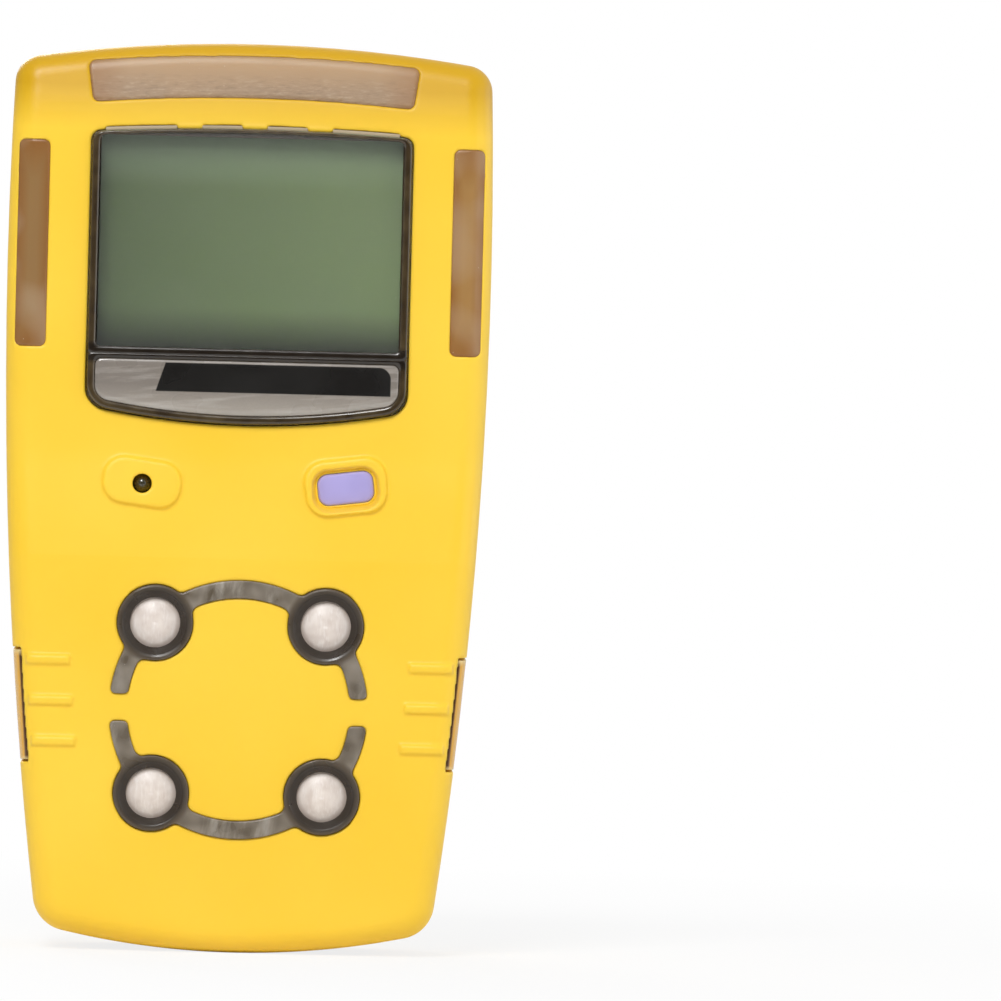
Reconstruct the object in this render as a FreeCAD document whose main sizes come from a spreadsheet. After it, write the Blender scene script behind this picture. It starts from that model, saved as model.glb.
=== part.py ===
"""Portable four-gas detector: a hand-sized yellow case worn on its back clip.

Model frame: X across the case, Y through it with the display facing -Y, Z up.
The pieces are drawn in case coordinates, with Z = 0 at the lowest point of the
case and Y = 0 between its two faces, and are then moved so that the origin is
where the jaw of the clip closes on its base plate.  Sizes are in millimetres.
"""

import FreeCAD, Part

import math
import os
import re

import Sketcher
from FreeCAD import Placement, Rotation, Vector

SIZES = [
    ("CaseHeight", 113, "overall height of the case"),
    ("CaseWidth", 60.2, "overall width, at the widest level"),
    ("WidestLevel", 85, "height of the widest level above the foot"),
    ("SideRadius", 605, "bow of the two sides"),
    ("TopRadius", 180, "bow of the top edge"),
    ("FootRadius", 100, "bow of the bottom edge"),
    ("TopCorner", 3.4, "corner radius at the top, seen from the front"),
    ("FootCorner", 4.6, "corner radius at the foot"),
    ("BackFace", 14.5, "flat back face, behind the middle plane"),
    ("DisplayFace", 12.6, "front face around the display, before the middle plane"),
    ("BulgeFace", 14.3, "front face where the sensor bulge begins"),
    ("FootFace", 13.3, "front face at the foot"),
    ("TopFall", 3.4, "how far the front face falls back towards the top"),
    ("TopBreak", 103.5, "level where the front begins to fall back"),
    ("SlopeTop", 62, "level where the display face ends"),
    ("SlopeFoot", 49, "level where the bulge begins"),
    ("BulgeRadius", 500, "bow of the bulge, from its top to the foot"),
    ("ZoneBlend", 25, "blend between the zones of the front face"),
    ("Overrun", 6, "how far construction solids pass the case"),
    ("FrontEdge", 3.2, "rounding round the front face"),
    ("BackEdge", 2.6, "rounding round the back face"),
    ("SplitFace", 5.5, "parting plane of the two halves"),
    ("SeamGap", 0.15, "gap that shows between the yellow halves"),
    ("CoverWall", 1.4, "soft outer cover"),
    ("FrameWall", 1.5, "hard frame under the cover"),
    ("BackWall", 2.2, "back wall of the rear shell"),
    ("Clearance", 0.1, "gap round a seated piece"),
    ("WindowWidth", 39.9, "display window"),
    ("WindowFoot", 67.7, "level of the window's lower corners"),
    ("WindowTop", 101.7, "level of the window's upper corners"),
    ("WindowFootRadius", 97, "bow of the window's lower edge"),
    ("WindowTopRadius", 300, "bow of the window's upper edge"),
    ("WindowLowCorner", 2.6, "lower corner radius of the window"),
    ("WindowHighCorner", 1.2, "upper corner radius of the window"),
    ("WindowProud", 0.5, "how far the window stands out of the cover"),
    ("WindowLedge", 1.2, "frame that shows dark round the view"),
    ("StripHeight", 0.45, "pale seal strip along the window's top edge"),
    ("TabPitch", 8.1, "spacing of the cover's tabs over that strip"),
    ("TabWidth", 3.1, "width of each tab"),
    ("TabShift", 0.25, "middle tab, from the centre plane"),
    ("ViewFoot", 75, "lower edge of the visible display"),
    ("ViewTop", 101.3, "upper edge of the visible display"),
    ("BandFoot", 67.4, "lower corners of the label panel"),
    ("BandTop", 73.4, "upper edge of the label panel"),
    ("BandWidth", 36.8, "width of the label panel"),
    ("BandThick", 0.3, "label panel"),
    ("BarFoot", 105.4, "lower corners of the top light bar"),
    ("BarTop", 110.3, "upper corners of the top light bar"),
    ("BarFootWidth", 39.6, "lower width of the top light bar"),
    ("BarTopWidth", 41, "upper width of the top light bar"),
    ("BarRadius", 210, "bow of the top light bar"),
    ("SideLightInner", 25.2, "inner edge of a side light, from the centre plane"),
    ("SideLightOuter", 28.8, "outer edge of a side light"),
    ("SideLightFoot", 74.9, "lower end of a side light"),
    ("SideLightTop", 100.4, "upper end of a side light"),
    ("SideLightCorner", 0.7, "corner radius of a side light"),
    ("LensSink", 0.25, "how far a light lens lies below the cover"),
    ("SensorPitch", 21.2, "spacing of the sensors, both ways"),
    ("SensorLevel", 30.3, "centre of the sensor group above the foot"),
    ("SensorRadius", 10, "sensor can"),
    ("SensorFace", 10.6, "front of the sensor cans, before the middle plane"),
    ("SensorLength", 14.2, "length of a sensor can"),
    ("PinCircle", 6.75, "radius of the circle of sensor pins"),
    ("PinRadius", 0.75, "sensor pin"),
    ("SocketRadius", 1.4, "sensor pin socket"),
    ("CollarRadius", 4.7, "rubber collar round each gas opening"),
    ("CrownLevel", 14.5, "front face at the collars, before the middle plane"),
    ("ArcRadius", 14.95, "middle of the rubber arc that joins the collars"),
    ("ArcWidth", 2.2, "width of the rubber arc"),
    ("ArcGap", 3.4, "gap between the upper and lower arcs"),
    ("ArcBlend", 1.1, "blend between arc and collar"),
    ("ArcProud", 0.3, "how far the rubber stands out of the cover"),
    ("ArcDepth", 0.9, "depth of the rubber's groove in the cover"),
    ("WellMouth", 3.85, "radius of the collar's well at its mouth"),
    ("WellThroat", 3.1, "radius of the well at the filter"),
    ("FilterRadius", 3.45, "gas filter disc"),
    ("FilterCrown", 14.3, "top of the filter's dome, before the middle plane"),
    ("FilterBack", 12.4, "back of the filter disc"),
    ("FilterSeat", 13.4, "front of the filter's seat in the collar"),
    ("KeyAcross", 12.65, "button and sounder port, from the centre plane"),
    ("KeyLevel", 58.1, "level of the button and the sounder port"),
    ("KeyTilt", 7.2, "tilt of the button and the port, in degrees"),
    ("KeyWidth", 6.8, "button"),
    ("KeyHeight", 3.8, "button"),
    ("KeyCorner", 1.25, "button corner radius"),
    ("KeyTop", 12.95, "front of the button, before the middle plane"),
    ("KeyTravel", 0.4, "travel of the button"),
    ("KeyGap", 0.1, "gap round the button"),
    ("KeyFlange", 0.7, "flange that keeps the button in, width and thickness"),
    ("FlangeFront", 9.7, "front of that flange, before the middle plane"),
    ("RimSlope", 22, "slope of the rim's two flanks, in degrees"),
    ("RimWidth", 10.2, "raised rim round the button"),
    ("RimHeight", 6.9, "raised rim round the button"),
    ("RimCorner", 2.6, "rim corner radius"),
    ("RimProud", 0.65, "how far the rim stands out"),
    ("CrestRise", 0.4, "the crests of the rim and the pad lie further out than this"),
    ("RimSoft", 0.1, "rounding of the button's rim"),
    ("PadSoft", 0.3, "rounding of the port's pad"),
    ("PortWidth", 9.8, "raised pad round the sounder port"),
    ("PortHeight", 5.8, "raised pad round the sounder port"),
    ("PortRadius", 1.2, "sounder port"),
    ("GripLength", 5.5, "finger rib"),
    ("GripHeight", 1.25, "finger rib"),
    ("GripPitch", 5.05, "spacing of the finger ribs"),
    ("GripTop", 36, "level of the highest rib"),
    ("GripInset", 1.6, "outer end of a rib, from the side of the case"),
    ("GripProud", 0.45, "how far a rib stands out"),
    ("GripSoft", 0.38, "rounding of a rib"),
    ("CatchFoot", 23.2, "lower end of the side catch"),
    ("CatchTop", 37.4, "upper end of the side catch"),
    ("CatchFront", 13.7, "front of the side catch, before the middle plane"),
    ("CatchSink", 0.2, "how far the catch lies below the cover"),
    ("CatchGap", 0.3, "gap between catch and cover"),
    ("CatchDepth", 1.6, "depth of the opening for the catch, from the side of the case"),
    ("BossRadius", 2.4, "screw boss of the frame"),
    ("RearBossRadius", 3, "screw boss of the rear shell"),
    ("TopBossAcross", 23.8, "upper screws, from the centre plane"),
    ("TopBossLevel", 104.3, "upper screws"),
    ("MidBossAcross", 24.2, "middle screws, from the centre plane"),
    ("MidBossLevel", 64, "middle screws"),
    ("LowBossAcross", 18.5, "lower screws, from the centre plane"),
    ("LowBossLevel", 8, "lower screws"),
    ("InsertRadius", 1.6, "threaded insert"),
    ("InsertLength", 4, "threaded insert"),
    ("ScrewRadius", 0.95, "case screw shank"),
    ("ScrewHead", 1.8, "case screw head radius"),
    ("HeadHeight", 1.4, "case screw head"),
    ("HeadSeat", 9, "floor of the counterbore, behind the middle plane"),
    ("CounterRadius", 2.1, "counterbore"),
    ("ShankHole", 1.1, "clear hole for the case screw"),
    ("SealInset", 1.75, "outer face of the seal, from the side of the case"),
    ("SealWidth", 0.8, "seal ring"),
    ("SealHeight", 0.6, "seal ring"),
    ("BoardFace", 5, "front of the main board, behind the middle plane"),
    ("BoardThick", 1.2, "both boards"),
    ("BoardWidth", 40.8, "main board"),
    ("BoardFoot", 11.3, "lower edge of the main board"),
    ("BoardTop", 107.5, "upper edge of both boards"),
    ("PanelBoardFace", 4.6, "front of the display board, before the middle plane"),
    ("PanelBoardWidth", 51.2, "display board"),
    ("PanelBoardNeck", 41.8, "display board between the screw bosses"),
    ("PanelBoardStepLow", 67.4, "level where the display board widens"),
    ("PanelBoardStepHigh", 101, "level where it narrows again"),
    ("PanelBoardFoot", 53.5, "lower edge of the display board"),
    ("PostLowAcross", 19.2, "lower board posts, from the centre plane"),
    ("PostLowLevel", 55, "lower board posts"),
    ("PostHighAcross", 17.2, "upper board posts, from the centre plane"),
    ("PostHighLevel", 105.6, "upper board posts"),
    ("PostRadius", 1.7, "board posts"),
    ("PostScrew", 0.8, "board screw shank"),
    ("GlassWidth", 40.8, "display glass"),
    ("GlassThick", 0.8, "each of the display's two glasses"),
    ("GlassFoot", 75.2, "lower edge of the rear glass and the backlight"),
    ("GlassTop", 102.8, "upper edge of both glasses"),
    ("LedgeFoot", 73.3, "lower edge of the front glass"),
    ("FoamThick", 0.5, "dust seal between frame and display"),
    ("GuideThick", 1.8, "backlight"),
    ("HolderWall", 0.8, "wall of the display holder"),
    ("LampLength", 3.2, "alarm lamp"),
    ("LampWidth", 2.6, "alarm lamp"),
    ("LampHeight", 1.6, "alarm lamp"),
    ("SounderRadius", 4.4, "sounder can"),
    ("SounderHeight", 4, "sounder can"),
    ("SwitchSide", 4.6, "push switch"),
    ("SwitchHeight", 1.8, "push switch"),
    ("PlungerRadius", 1.1, "switch plunger"),
    ("PlungerProud", 0.9, "switch plunger out of its switch"),
    ("CarrierWall", 1.3, "sensor carrier round the cans"),
    ("CarrierBack", 4, "back of the carrier, before the middle plane"),
    ("MotorRadius", 3.4, "vibration motor can"),
    ("MotorLength", 9, "vibration motor can"),
    ("MotorLevel", 96, "vibration motor"),
    ("MotorDepth", 0.8, "motor axis, behind the middle plane"),
    ("ShaftRadius", 0.4, "motor shaft"),
    ("ShaftGap", 0.05, "running gap of the shaft"),
    ("WeightRadius", 3.1, "eccentric weight"),
    ("WeightLength", 3.5, "eccentric weight"),
    ("CellWidth", 34.6, "battery"),
    ("CellFoot", 12.5, "lower edge of the battery"),
    ("CellTop", 62.5, "upper edge of the battery"),
    ("CellThick", 5.1, "battery"),
    ("PadThick", 0.5, "foam on both sides of the battery"),
    ("PortLength", 16, "charging port"),
    ("PortDepth", 5, "charging port"),
    ("PortMiddle", 9.6, "charging port, behind the middle plane"),
    ("PortSink", 0.9, "face of the port above the foot"),
    ("PortInside", 5.5, "inner end of the port above the foot"),
    ("ContactPitch", 3, "charging contacts"),
    ("LabelWidth", 34, "rear label"),
    ("LabelFoot", 15, "lower edge of the rear label"),
    ("LabelTop", 56, "upper edge of the rear label"),
    ("LabelThick", 0.25, "rear label"),
    ("ClipWidth", 16, "clip base plate"),
    ("ClipFoot", 62.5, "lower end of the base plate"),
    ("ClipTop", 105, "upper end of the base plate"),
    ("ClipThick", 1.2, "base plate"),
    ("ClipCorner", 2.5, "base plate corners"),
    ("EarThick", 1, "ears of the base plate"),
    ("EarRadius", 3.2, "ears round the pin"),
    ("JawEarRadius", 2.7, "ears of the jaw"),
    ("HingeLevel", 89, "clip pin"),
    ("HingeStand", 5.5, "clip pin, from the back face"),
    ("HingePin", 1, "clip pin radius"),
    ("HingeGap", 0.05, "running gap of the pin"),
    ("JawWidth", 13.4, "jaw"),
    ("JawReach", 2.4, "inner face of the jaw plate, from the pin"),
    ("JawThick", 1, "jaw plate"),
    ("JawBend", 3.2, "outer radius of the jaw's bend"),
    ("JawGap", 0.1, "gap under the teeth"),
    ("ThumbFoot", 92.4, "level where the thumb tab begins to lean out"),
    ("ThumbBend", 98, "level where it is upright again"),
    ("ThumbTop", 107.2, "upper end of the thumb tab"),
    ("ThumbLean", 3, "how far the thumb tab leans out"),
    ("ThumbCorner", 3, "corners of the thumb tab"),
    ("CordHole", 2, "lanyard hole radius"),
    ("CordHoleLevel", 102.6, "lanyard hole"),
    ("ToothPitch", 2, "teeth of the jaw"),
    ("ToothDepth", 1.1, "teeth of the jaw"),
    ("WireRadius", 0.4, "spring wire"),
    ("CoilRadius", 1.75, "mean radius of the spring"),
    ("CoilPitch", 0.95, "pitch of the spring"),
    ("ClipScrewHigh", 100.5, "upper clip screw"),
    ("ClipScrewLow", 79, "lower clip screw"),
    ("ClipScrewRadius", 1.2, "clip screw shank"),
    ("ClipHeadRadius", 2.3, "clip screw head"),
    ("GripLevel", 65, "where the jaw closes, above the foot"),
]

doc = FreeCAD.newDocument("GasDetector")
sheet = doc.addObject("Spreadsheet::Sheet", "Sizes")
for row, (alias, value, note) in enumerate(SIZES, start=1):
    sheet.set(f"A{row}", note)
    sheet.set(f"B{row}", str(value))
    sheet.setAlias(f"B{row}", alias)
doc.recompute()

nodes = []
drawn = {}


# ---- helpers: sizes, names and placing -------------------------------------------------


def qualified(text):
    """An expression with every size name pointed at the sheet."""
    return re.sub(r"\b[A-Z][A-Za-z]+\b", r"Sizes.\g<0>", str(text))


def size(text):
    """The present value of an expression."""
    return float(sheet.evalExpression(qualified(text)))


def bind(thing, expressions):
    for path, text in expressions.items():
        thing.setExpression(path, qualified(text))


def fresh(kind, name):
    """A new document object with a name that isn't taken."""
    drawn[name] = drawn.get(name, 0) + 1
    thing = doc.addObject(kind, name)
    thing.Label = name if drawn[name] == 1 else f"{name}_{drawn[name]}"
    return thing


def publish(label, *solids):
    """One node of the assembly: its solids, moved into the model frame."""
    node = doc.addObject("Part::Compound", "Node_" + label)
    node.Links = list(solids)
    node.Label = label
    bind(node, {"Placement.Base.y": "-(BackFace + ClipThick)", "Placement.Base.z": "-GripLevel"})
    nodes.append(node)
    return node


# ---- helpers: primitives and booleans --------------------------------------------------


def box(name, across, through, up):
    """A box between pairs of expressions along X, Y and Z."""
    solid = fresh("Part::Box", name)
    spans = zip(("Length", "Width", "Height"), "xyz", (across, through, up))
    for side, axis, (low, high) in spans:
        bind(solid, {side: f"({high})-({low})", f"Placement.Base.{axis}": low})
    return solid


AXIS_TURNS = {
    "X": Rotation(Vector(0, 1, 0), 90),
    "Y": Rotation(Vector(1, 0, 0), -90),
    "Z": Rotation(),
}


def rod(name, axis, centre, radius, low, high, top_radius=None):
    """A cylinder, or a cone, along an axis from low to high.  centre holds the other two."""
    solid = fresh("Part::Cylinder" if top_radius is None else "Part::Cone", name)
    solid.Placement = Placement(Vector(), AXIS_TURNS[axis])
    others = [letter for letter in "xyz" if letter != axis.lower()]
    bind(solid, {f"Placement.Base.{others[0]}": centre[0], f"Placement.Base.{others[1]}": centre[1]})
    bind(solid, {f"Placement.Base.{axis.lower()}": low, "Height": f"({high})-({low})"})
    if top_radius is None:
        bind(solid, {"Radius": radius})
    else:
        bind(solid, {"Radius1": radius, "Radius2": top_radius})
    return solid


def cut(name, base, *tools):
    result = fresh("Part::Cut", name)
    result.Base = base
    result.Tool = tools[0] if len(tools) == 1 else fuse(name + "_tools", *tools)
    return result


def fuse(name, *solids):
    result = fresh("Part::MultiFuse", name)
    result.Shapes = list(solids)
    return result


def common(name, *solids):
    result = fresh("Part::MultiCommon", name)
    result.Shapes = list(solids)
    return result


def rounded(name, base, radius, wanted):
    """base with the edges that wanted() picks rounded."""
    doc.recompute()
    result = fresh("Part::Fillet", name)
    result.Base = base
    picked = [i for i, edge in enumerate(base.Shape.Edges, start=1) if wanted(edge, base.Shape)]
    result.Edges = [(i, size(radius), size(radius)) for i in picked]
    return result


def runs_along(edge, axis):
    """True for a straight edge parallel to a coordinate axis."""
    if len(edge.Vertexes) != 2 or edge.Curve.TypeId != "Part::GeomLine":
        return False
    step = edge.Vertexes[1].Point - edge.Vertexes[0].Point
    return abs(abs(step.normalize() * axis) - 1) < 1e-6


# ---- helpers: sketches and bodies ------------------------------------------------------


def arc_between(start, end, radius, outward):
    """The arc of that radius from start to end, bulging to the right of the way it runs."""
    middle, step = (start + end) * 0.5, end - start
    rise = math.sqrt(max(radius * radius - step.Length**2 / 4, 0))
    side = Vector(-step.y, step.x, 0).normalize() * (rise if outward else -rise)
    centre = middle + side
    first, last = (start, end) if outward else (end, start)
    angles = [math.atan2(p.y - centre.y, p.x - centre.x) for p in (first, last)]
    circle = Part.Circle(centre, Vector(0, 0, 1), radius)
    return Part.ArcOfCircle(circle, angles[0], angles[1])


def draw(sketch, loops):
    """Draws closed loops, each fixed by expressions.

    A loop is ("circle", x, y, radius) or a list of corners that runs anticlockwise.  A
    corner is (x, y), or (x, y, radius) where the edge that leaves it is an arc; a minus
    sign in front of the radius makes the arc bulge inward.
    """
    number = 0
    for loop in loops:
        if loop[0] == "circle":
            x, y, radius = loop[1:]
            centre = Vector(size(x), size(y), 0)
            sketch.addGeometry(Part.Circle(centre, Vector(0, 0, 1), size(radius)), False)
            fix(sketch, number, 3, x, y)
            fix_radius(sketch, number, radius)
            number += 1
            continue
        points = [Vector(size(corner[0]), size(corner[1]), 0) for corner in loop]
        first = number
        ends = []
        for i, corner in enumerate(loop):
            start, end = points[i], points[(i + 1) % len(loop)]
            if len(corner) == 2:
                sketch.addGeometry(Part.LineSegment(start, end), False)
                ends.append((1, 2))
            else:
                outward = not str(corner[2]).startswith("-")
                reach = str(corner[2]).lstrip("-")
                sketch.addGeometry(arc_between(start, end, size(reach), outward), False)
                ends.append((1, 2) if outward else (2, 1))
                fix_radius(sketch, number, reach)
            number += 1
        for i, corner in enumerate(loop):
            before = (i - 1) % len(loop)
            sketch.addConstraint(
                Sketcher.Constraint("Coincident", first + before, ends[before][1], first + i, ends[i][0])
            )
            fix(sketch, first + i, ends[i][0], corner[0], corner[1])


def fix(sketch, geometry, point, x, y):
    for kind, text in (("DistanceX", x), ("DistanceY", y)):
        index = sketch.addConstraint(
            Sketcher.Constraint(kind, -1, 1, geometry, point, size(text))
        )
        sketch.setExpression(f"Constraints[{index}]", qualified(text))


def fix_radius(sketch, geometry, radius):
    index = sketch.addConstraint(Sketcher.Constraint("Radius", geometry, size(radius)))
    sketch.setExpression(f"Constraints[{index}]", qualified(radius))


def sketch_in(body, plane_role, loops, offset="0"):
    """A sketch on one of the body's own planes, moved along its normal."""
    plane = next(f for f in body.Origin.OriginFeatures if f.Role == plane_role)
    sketch = body.newObject("Sketcher::SketchObject", "Outline")
    sketch.AttachmentSupport = [(plane, "")]
    sketch.MapMode = "FlatFace"
    bind(sketch, {"AttachmentOffset.Base.z": offset})
    draw(sketch, loops)
    return sketch


def padded(name, loops, front, back, at=None, turn=None):
    """A body padded from loops seen from the front, between two depths along Y.

    at places the loops' origin across and up, and turn leans them, in degrees.
    """
    body = fresh("PartDesign::Body", name)
    sketch = sketch_in(body, "XZ_Plane", loops, f"-({back})")
    pad = body.newObject("PartDesign::Pad", "Pad")
    pad.Profile = sketch
    bind(pad, {"Length": f"({back})-({front})"})
    body.Tip = pad
    if turn is not None:
        body.Placement = Placement(Vector(), Rotation(Vector(0, 1, 0), 1))
        bind(body, {"Placement.Rotation.Angle": turn})
    if at is not None:
        bind(body, {"Placement.Base.x": at[0], "Placement.Base.z": at[1]})
    return body


def extruded(name, loops, low, high):
    """A body padded along X from loops in the YZ plane."""
    body = fresh("PartDesign::Body", name)
    sketch = sketch_in(body, "YZ_Plane", loops, low)
    pad = body.newObject("PartDesign::Pad", "Pad")
    pad.Profile = sketch
    bind(pad, {"Length": f"({high})-({low})"})
    body.Tip = pad
    return body


def turned(name, profile, across, level):
    """A body turned about a line along Y.  profile holds (radius, depth) corners."""
    body = fresh("PartDesign::Body", name)
    sketch = sketch_in(body, "XY_Plane", [profile])
    spin = body.newObject("PartDesign::Revolution", "Turn")
    spin.Profile = sketch
    spin.ReferenceAxis = (sketch, ["V_Axis"])
    spin.Angle = 360
    body.Tip = spin
    bind(body, {"Placement.Base.x": across, "Placement.Base.z": level})
    return body


def rounded_rectangle(width, height, corner, grow="0"):
    """A loop about the origin."""
    w, h, r = f"(({width})/2+({grow}))", f"(({height})/2+({grow}))", f"(({corner})+({grow}))"
    return [
        (f"-{w}+{r}", f"-{h}"),
        (f"{w}-{r}", f"-{h}", r),
        (w, f"-{h}+{r}"),
        (w, f"{h}-{r}", r),
        (f"{w}-{r}", h),
        (f"-{w}+{r}", h, r),
        (f"-{w}", f"{h}-{r}"),
        (f"-{w}", f"-{h}+{r}", r),
    ]


def rectangle(left, right, foot, top):
    return [(left, foot), (right, foot), (right, top), (left, top)]


# ---- the case: nested blocks -----------------------------------------------------------


def column(name, inset):
    """The outline of the case seen from the front, drawn in by inset and run right through."""
    low, high = "-CaseWidth", "CaseWidth"
    reach = f"(SideRadius-({inset}))"
    lean = f"(CaseWidth/2-SideRadius)"
    left = rod(name + "_left", "Y", (f"-{lean}", "WidestLevel"), reach, low, high)
    right = rod(name + "_right", "Y", (lean, "WidestLevel"), reach, low, high)
    foot = rod(name + "_foot", "Y", ("0", "FootRadius"), f"FootRadius-({inset})", low, high)
    top = rod(name + "_top", "Y", ("0", "CaseHeight-TopRadius"), f"TopRadius-({inset})", low, high)
    sharp = common(name + "_sharp", left, right, foot, top)
    middle = size("CaseHeight/2")
    upper = rounded(
        name + "_upper", sharp, f"TopCorner-({inset})",
        lambda edge, shape: is_corner(edge) and edge.Vertexes[0].Z > middle,
    )
    return rounded(
        name, upper, f"FootCorner-({inset})",
        lambda edge, shape: is_corner(edge) and edge.Vertexes[0].Z < size("FootCorner+FrontEdge"),
    )


def crest_softened(name, base, radius, level):
    """base with the rim of its front rounded: the front lies wholly before the level -Y."""
    limit = -size(level)

    def in_front(piece):
        return all(vertex.Y < limit for vertex in piece.Vertexes)

    def on_rim(edge, shape):
        faces = shape.ancestorsOfType(edge, Part.Face)
        return in_front(edge) and sum(in_front(face) for face in faces) == 1

    return rounded(name, base, radius, on_rim)


def is_corner(edge):
    """An upright corner of the outline: an edge along Y that lies well off the centre plane."""
    return runs_along(edge, Vector(0, 1, 0)) and abs(edge.Vertexes[0].X) > size("CaseWidth/4")


def side_profile(name, front, back):
    """The case seen from the side, with its faces drawn in and its zones blended."""
    f, b = f"({front})", f"({back})"
    over = "CaseHeight+Overrun"
    corners = [
        (f"BackFace-{b}", "-Overrun"),
        (f"BackFace-{b}", over),
        (f"-(DisplayFace-TopFall)+{f}", over),
        (f"-DisplayFace+{f}", "TopBreak"),
        (f"-DisplayFace+{f}", "SlopeTop"),
        (f"-BulgeFace+{f}", "SlopeFoot", "BulgeRadius"),
        (f"-FootFace+{f}", "-Overrun"),
    ]
    sharp = extruded(name + "_sharp", [corners], "-CaseWidth", "CaseWidth")
    zones = (size("SlopeFoot-1"), size("TopBreak+1"))
    return rounded(
        name, sharp, "ZoneBlend",
        lambda edge, shape: runs_along(edge, Vector(1, 0, 0))
        and edge.Vertexes[0].Y < 0
        and zones[0] < edge.Vertexes[0].Z < zones[1],
    )


def case_block(name, inset, back=None, soft=True):
    """The case as a solid, drawn in by inset, with its front and back edges rounded."""
    back = inset if back is None else back
    outline, profile = column(name + "_column", inset), side_profile(name + "_side", inset, back)
    solid = common(name + "_sharp", outline, profile)
    if not soft:
        return solid
    front_soft = rounded(name + "_front", solid, f"FrontEdge-({inset})", is_front_perimeter)
    limit = size(f"BackFace-({back})") - 0.1
    return rounded(
        name, front_soft, f"BackEdge-({back})",
        lambda edge, shape: min(vertex.Y for vertex in edge.Vertexes) > limit,
    )


def is_front_perimeter(edge, shape):
    """An edge between the front face and the sides: shallow, and on just one shallow face."""
    ends = [vertex.Y for vertex in edge.Vertexes]
    if max(ends) > -size("DisplayFace-TopFall-FrontEdge") or max(ends) - min(ends) > size("2*TopFall"):
        return False
    faces = shape.ancestorsOfType(edge, Part.Face)
    return sum(spread(face) < size("2*TopFall") for face in faces) == 1


def spread(face):
    depths = [vertex.Y for vertex in face.Vertexes]
    return max(depths) - min(depths)


outer = case_block("outer_block", "0")
inner = case_block("inner_block", "CoverWall")
cover_floor = case_block("cover_floor_block", "CoverWall-Clearance")
cavity = case_block("cavity_block", "CoverWall+FrameWall", "BackWall", soft=False)


def slab(name, front, back, foot="-Overrun", top="CaseHeight+Overrun"):
    return box(name, ("-CaseWidth", "CaseWidth"), (front, back), (foot, top))


def soft_prism(name, loop, front, back, foot_corner, top_corner):
    """A loop padded through the case, with its corners rounded."""
    sharp = padded(name + "_sharp", [loop], front, back)
    doc.recompute()
    middle = sharp.Shape.BoundBox.Center.z
    lower = rounded(
        name + "_lower", sharp, foot_corner,
        lambda edge, shape: runs_along(edge, Vector(0, 1, 0)) and edge.Vertexes[0].Z < middle,
    )
    return rounded(
        name, lower, top_corner,
        lambda edge, shape: runs_along(edge, Vector(0, 1, 0)) and edge.Vertexes[0].Z > middle,
    )


def tapered(name, loop, front, back, at, turn, slope):
    """A pad that grows (slope above zero) or shrinks towards the front."""
    body = padded(name, [loop], front, back, at, turn)
    bind(body.Tip, {"TaperAngle": slope})
    return body


FRONT = "-CaseWidth"
cover_back_flat = "-(DisplayFace-CoverWall)"
frame_back_flat = "-(DisplayFace-CoverWall-FrameWall)"

proud_of_grips = case_block("grip_block", "-GripProud")
proud_of_rims = case_block("rim_block", "-RimProud")
proud_of_arcs = case_block("arc_block", "-ArcProud")
below_arcs = case_block("arc_floor_block", "ArcDepth")
below_lenses = case_block("lens_block", "LensSink")
below_catches = case_block("catch_block", "CatchSink")

# ---- the display window and what shows round it ----------------------------------------


def window_outline(grow):
    across, foot, top = f"(WindowWidth/2+{grow})", f"(WindowFoot-{grow})", f"(WindowTop+{grow})"
    return [
        (f"-{across}", foot, f"WindowFootRadius+{grow}"),
        (across, foot),
        (across, top, f"WindowTopRadius+{grow}"),
        (f"-{across}", top),
    ]


def window_prism(name, grow, front, back):
    corners = f"WindowLowCorner+{grow}", f"WindowHighCorner+{grow}"
    return soft_prism(name, window_outline(grow), front, back, *corners)


window_front = "-(DisplayFace+WindowProud)"
window_plate = window_prism("window_plate", "0", window_front, cover_back_flat)
window_soft = rounded(
    "window_soft", window_plate, "WindowProud-0.05",
    lambda edge, shape: all(vertex.Y < size(window_front) + 0.01 for vertex in edge.Vertexes),
)
band_outline = [
    ("-BandWidth/2", "BandFoot+1", "WindowFootRadius"),
    ("BandWidth/2", "BandFoot+1"),
    ("BandWidth/2", "BandTop"),
    ("-BandWidth/2", "BandTop"),
]
label_plate = soft_prism(
    "label_panel", band_outline, f"{cover_back_flat}-BandThick", cover_back_flat, "1", "0.5"
)
publish("display_window", cut("window_cut", window_soft, label_plate))
publish("label_plate", label_plate)

strip_zone = box(
    "strip_zone", ("-(WindowWidth/2-1.4*WindowHighCorner)", "WindowWidth/2-1.4*WindowHighCorner"),
    (FRONT, "CaseWidth"), ("WindowTop-StripHeight", "CaseHeight"),
)
strip_front = "-(DisplayFace-0.15)"
strip_outer = window_prism("strip_outer", "StripHeight", FRONT, cover_back_flat)
strip_inner = window_prism("strip_inner", "0", FRONT, cover_back_flat)
strip_full = cut("strip_full", common("strip_band", strip_outer, strip_zone), strip_inner)
tab_boxes = fuse("tab_boxes", *[
    box(
        "tab_box",
        (f"TabShift+({i})*TabPitch-TabWidth/2", f"TabShift+({i})*TabPitch+TabWidth/2"),
        ("-DisplayFace", "-DisplayFace+CoverWall/2"), ("WindowTop-StripHeight", "CaseHeight"),
    )
    for i in (-1, 0, 1)
])
strip_slab = slab("strip_slab", strip_front, cover_back_flat)
strip_limit = window_prism("strip_limit", "(StripHeight-Clearance/2)", FRONT, cover_back_flat)
strip_body = common("strip_body", strip_full, strip_slab, strip_limit)
publish("window_seal", cut("strip_cut", strip_body, tab_boxes))
cover_tabs = common("cover_tabs", strip_full, tab_boxes)

# ---- the light bars --------------------------------------------------------------------


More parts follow.
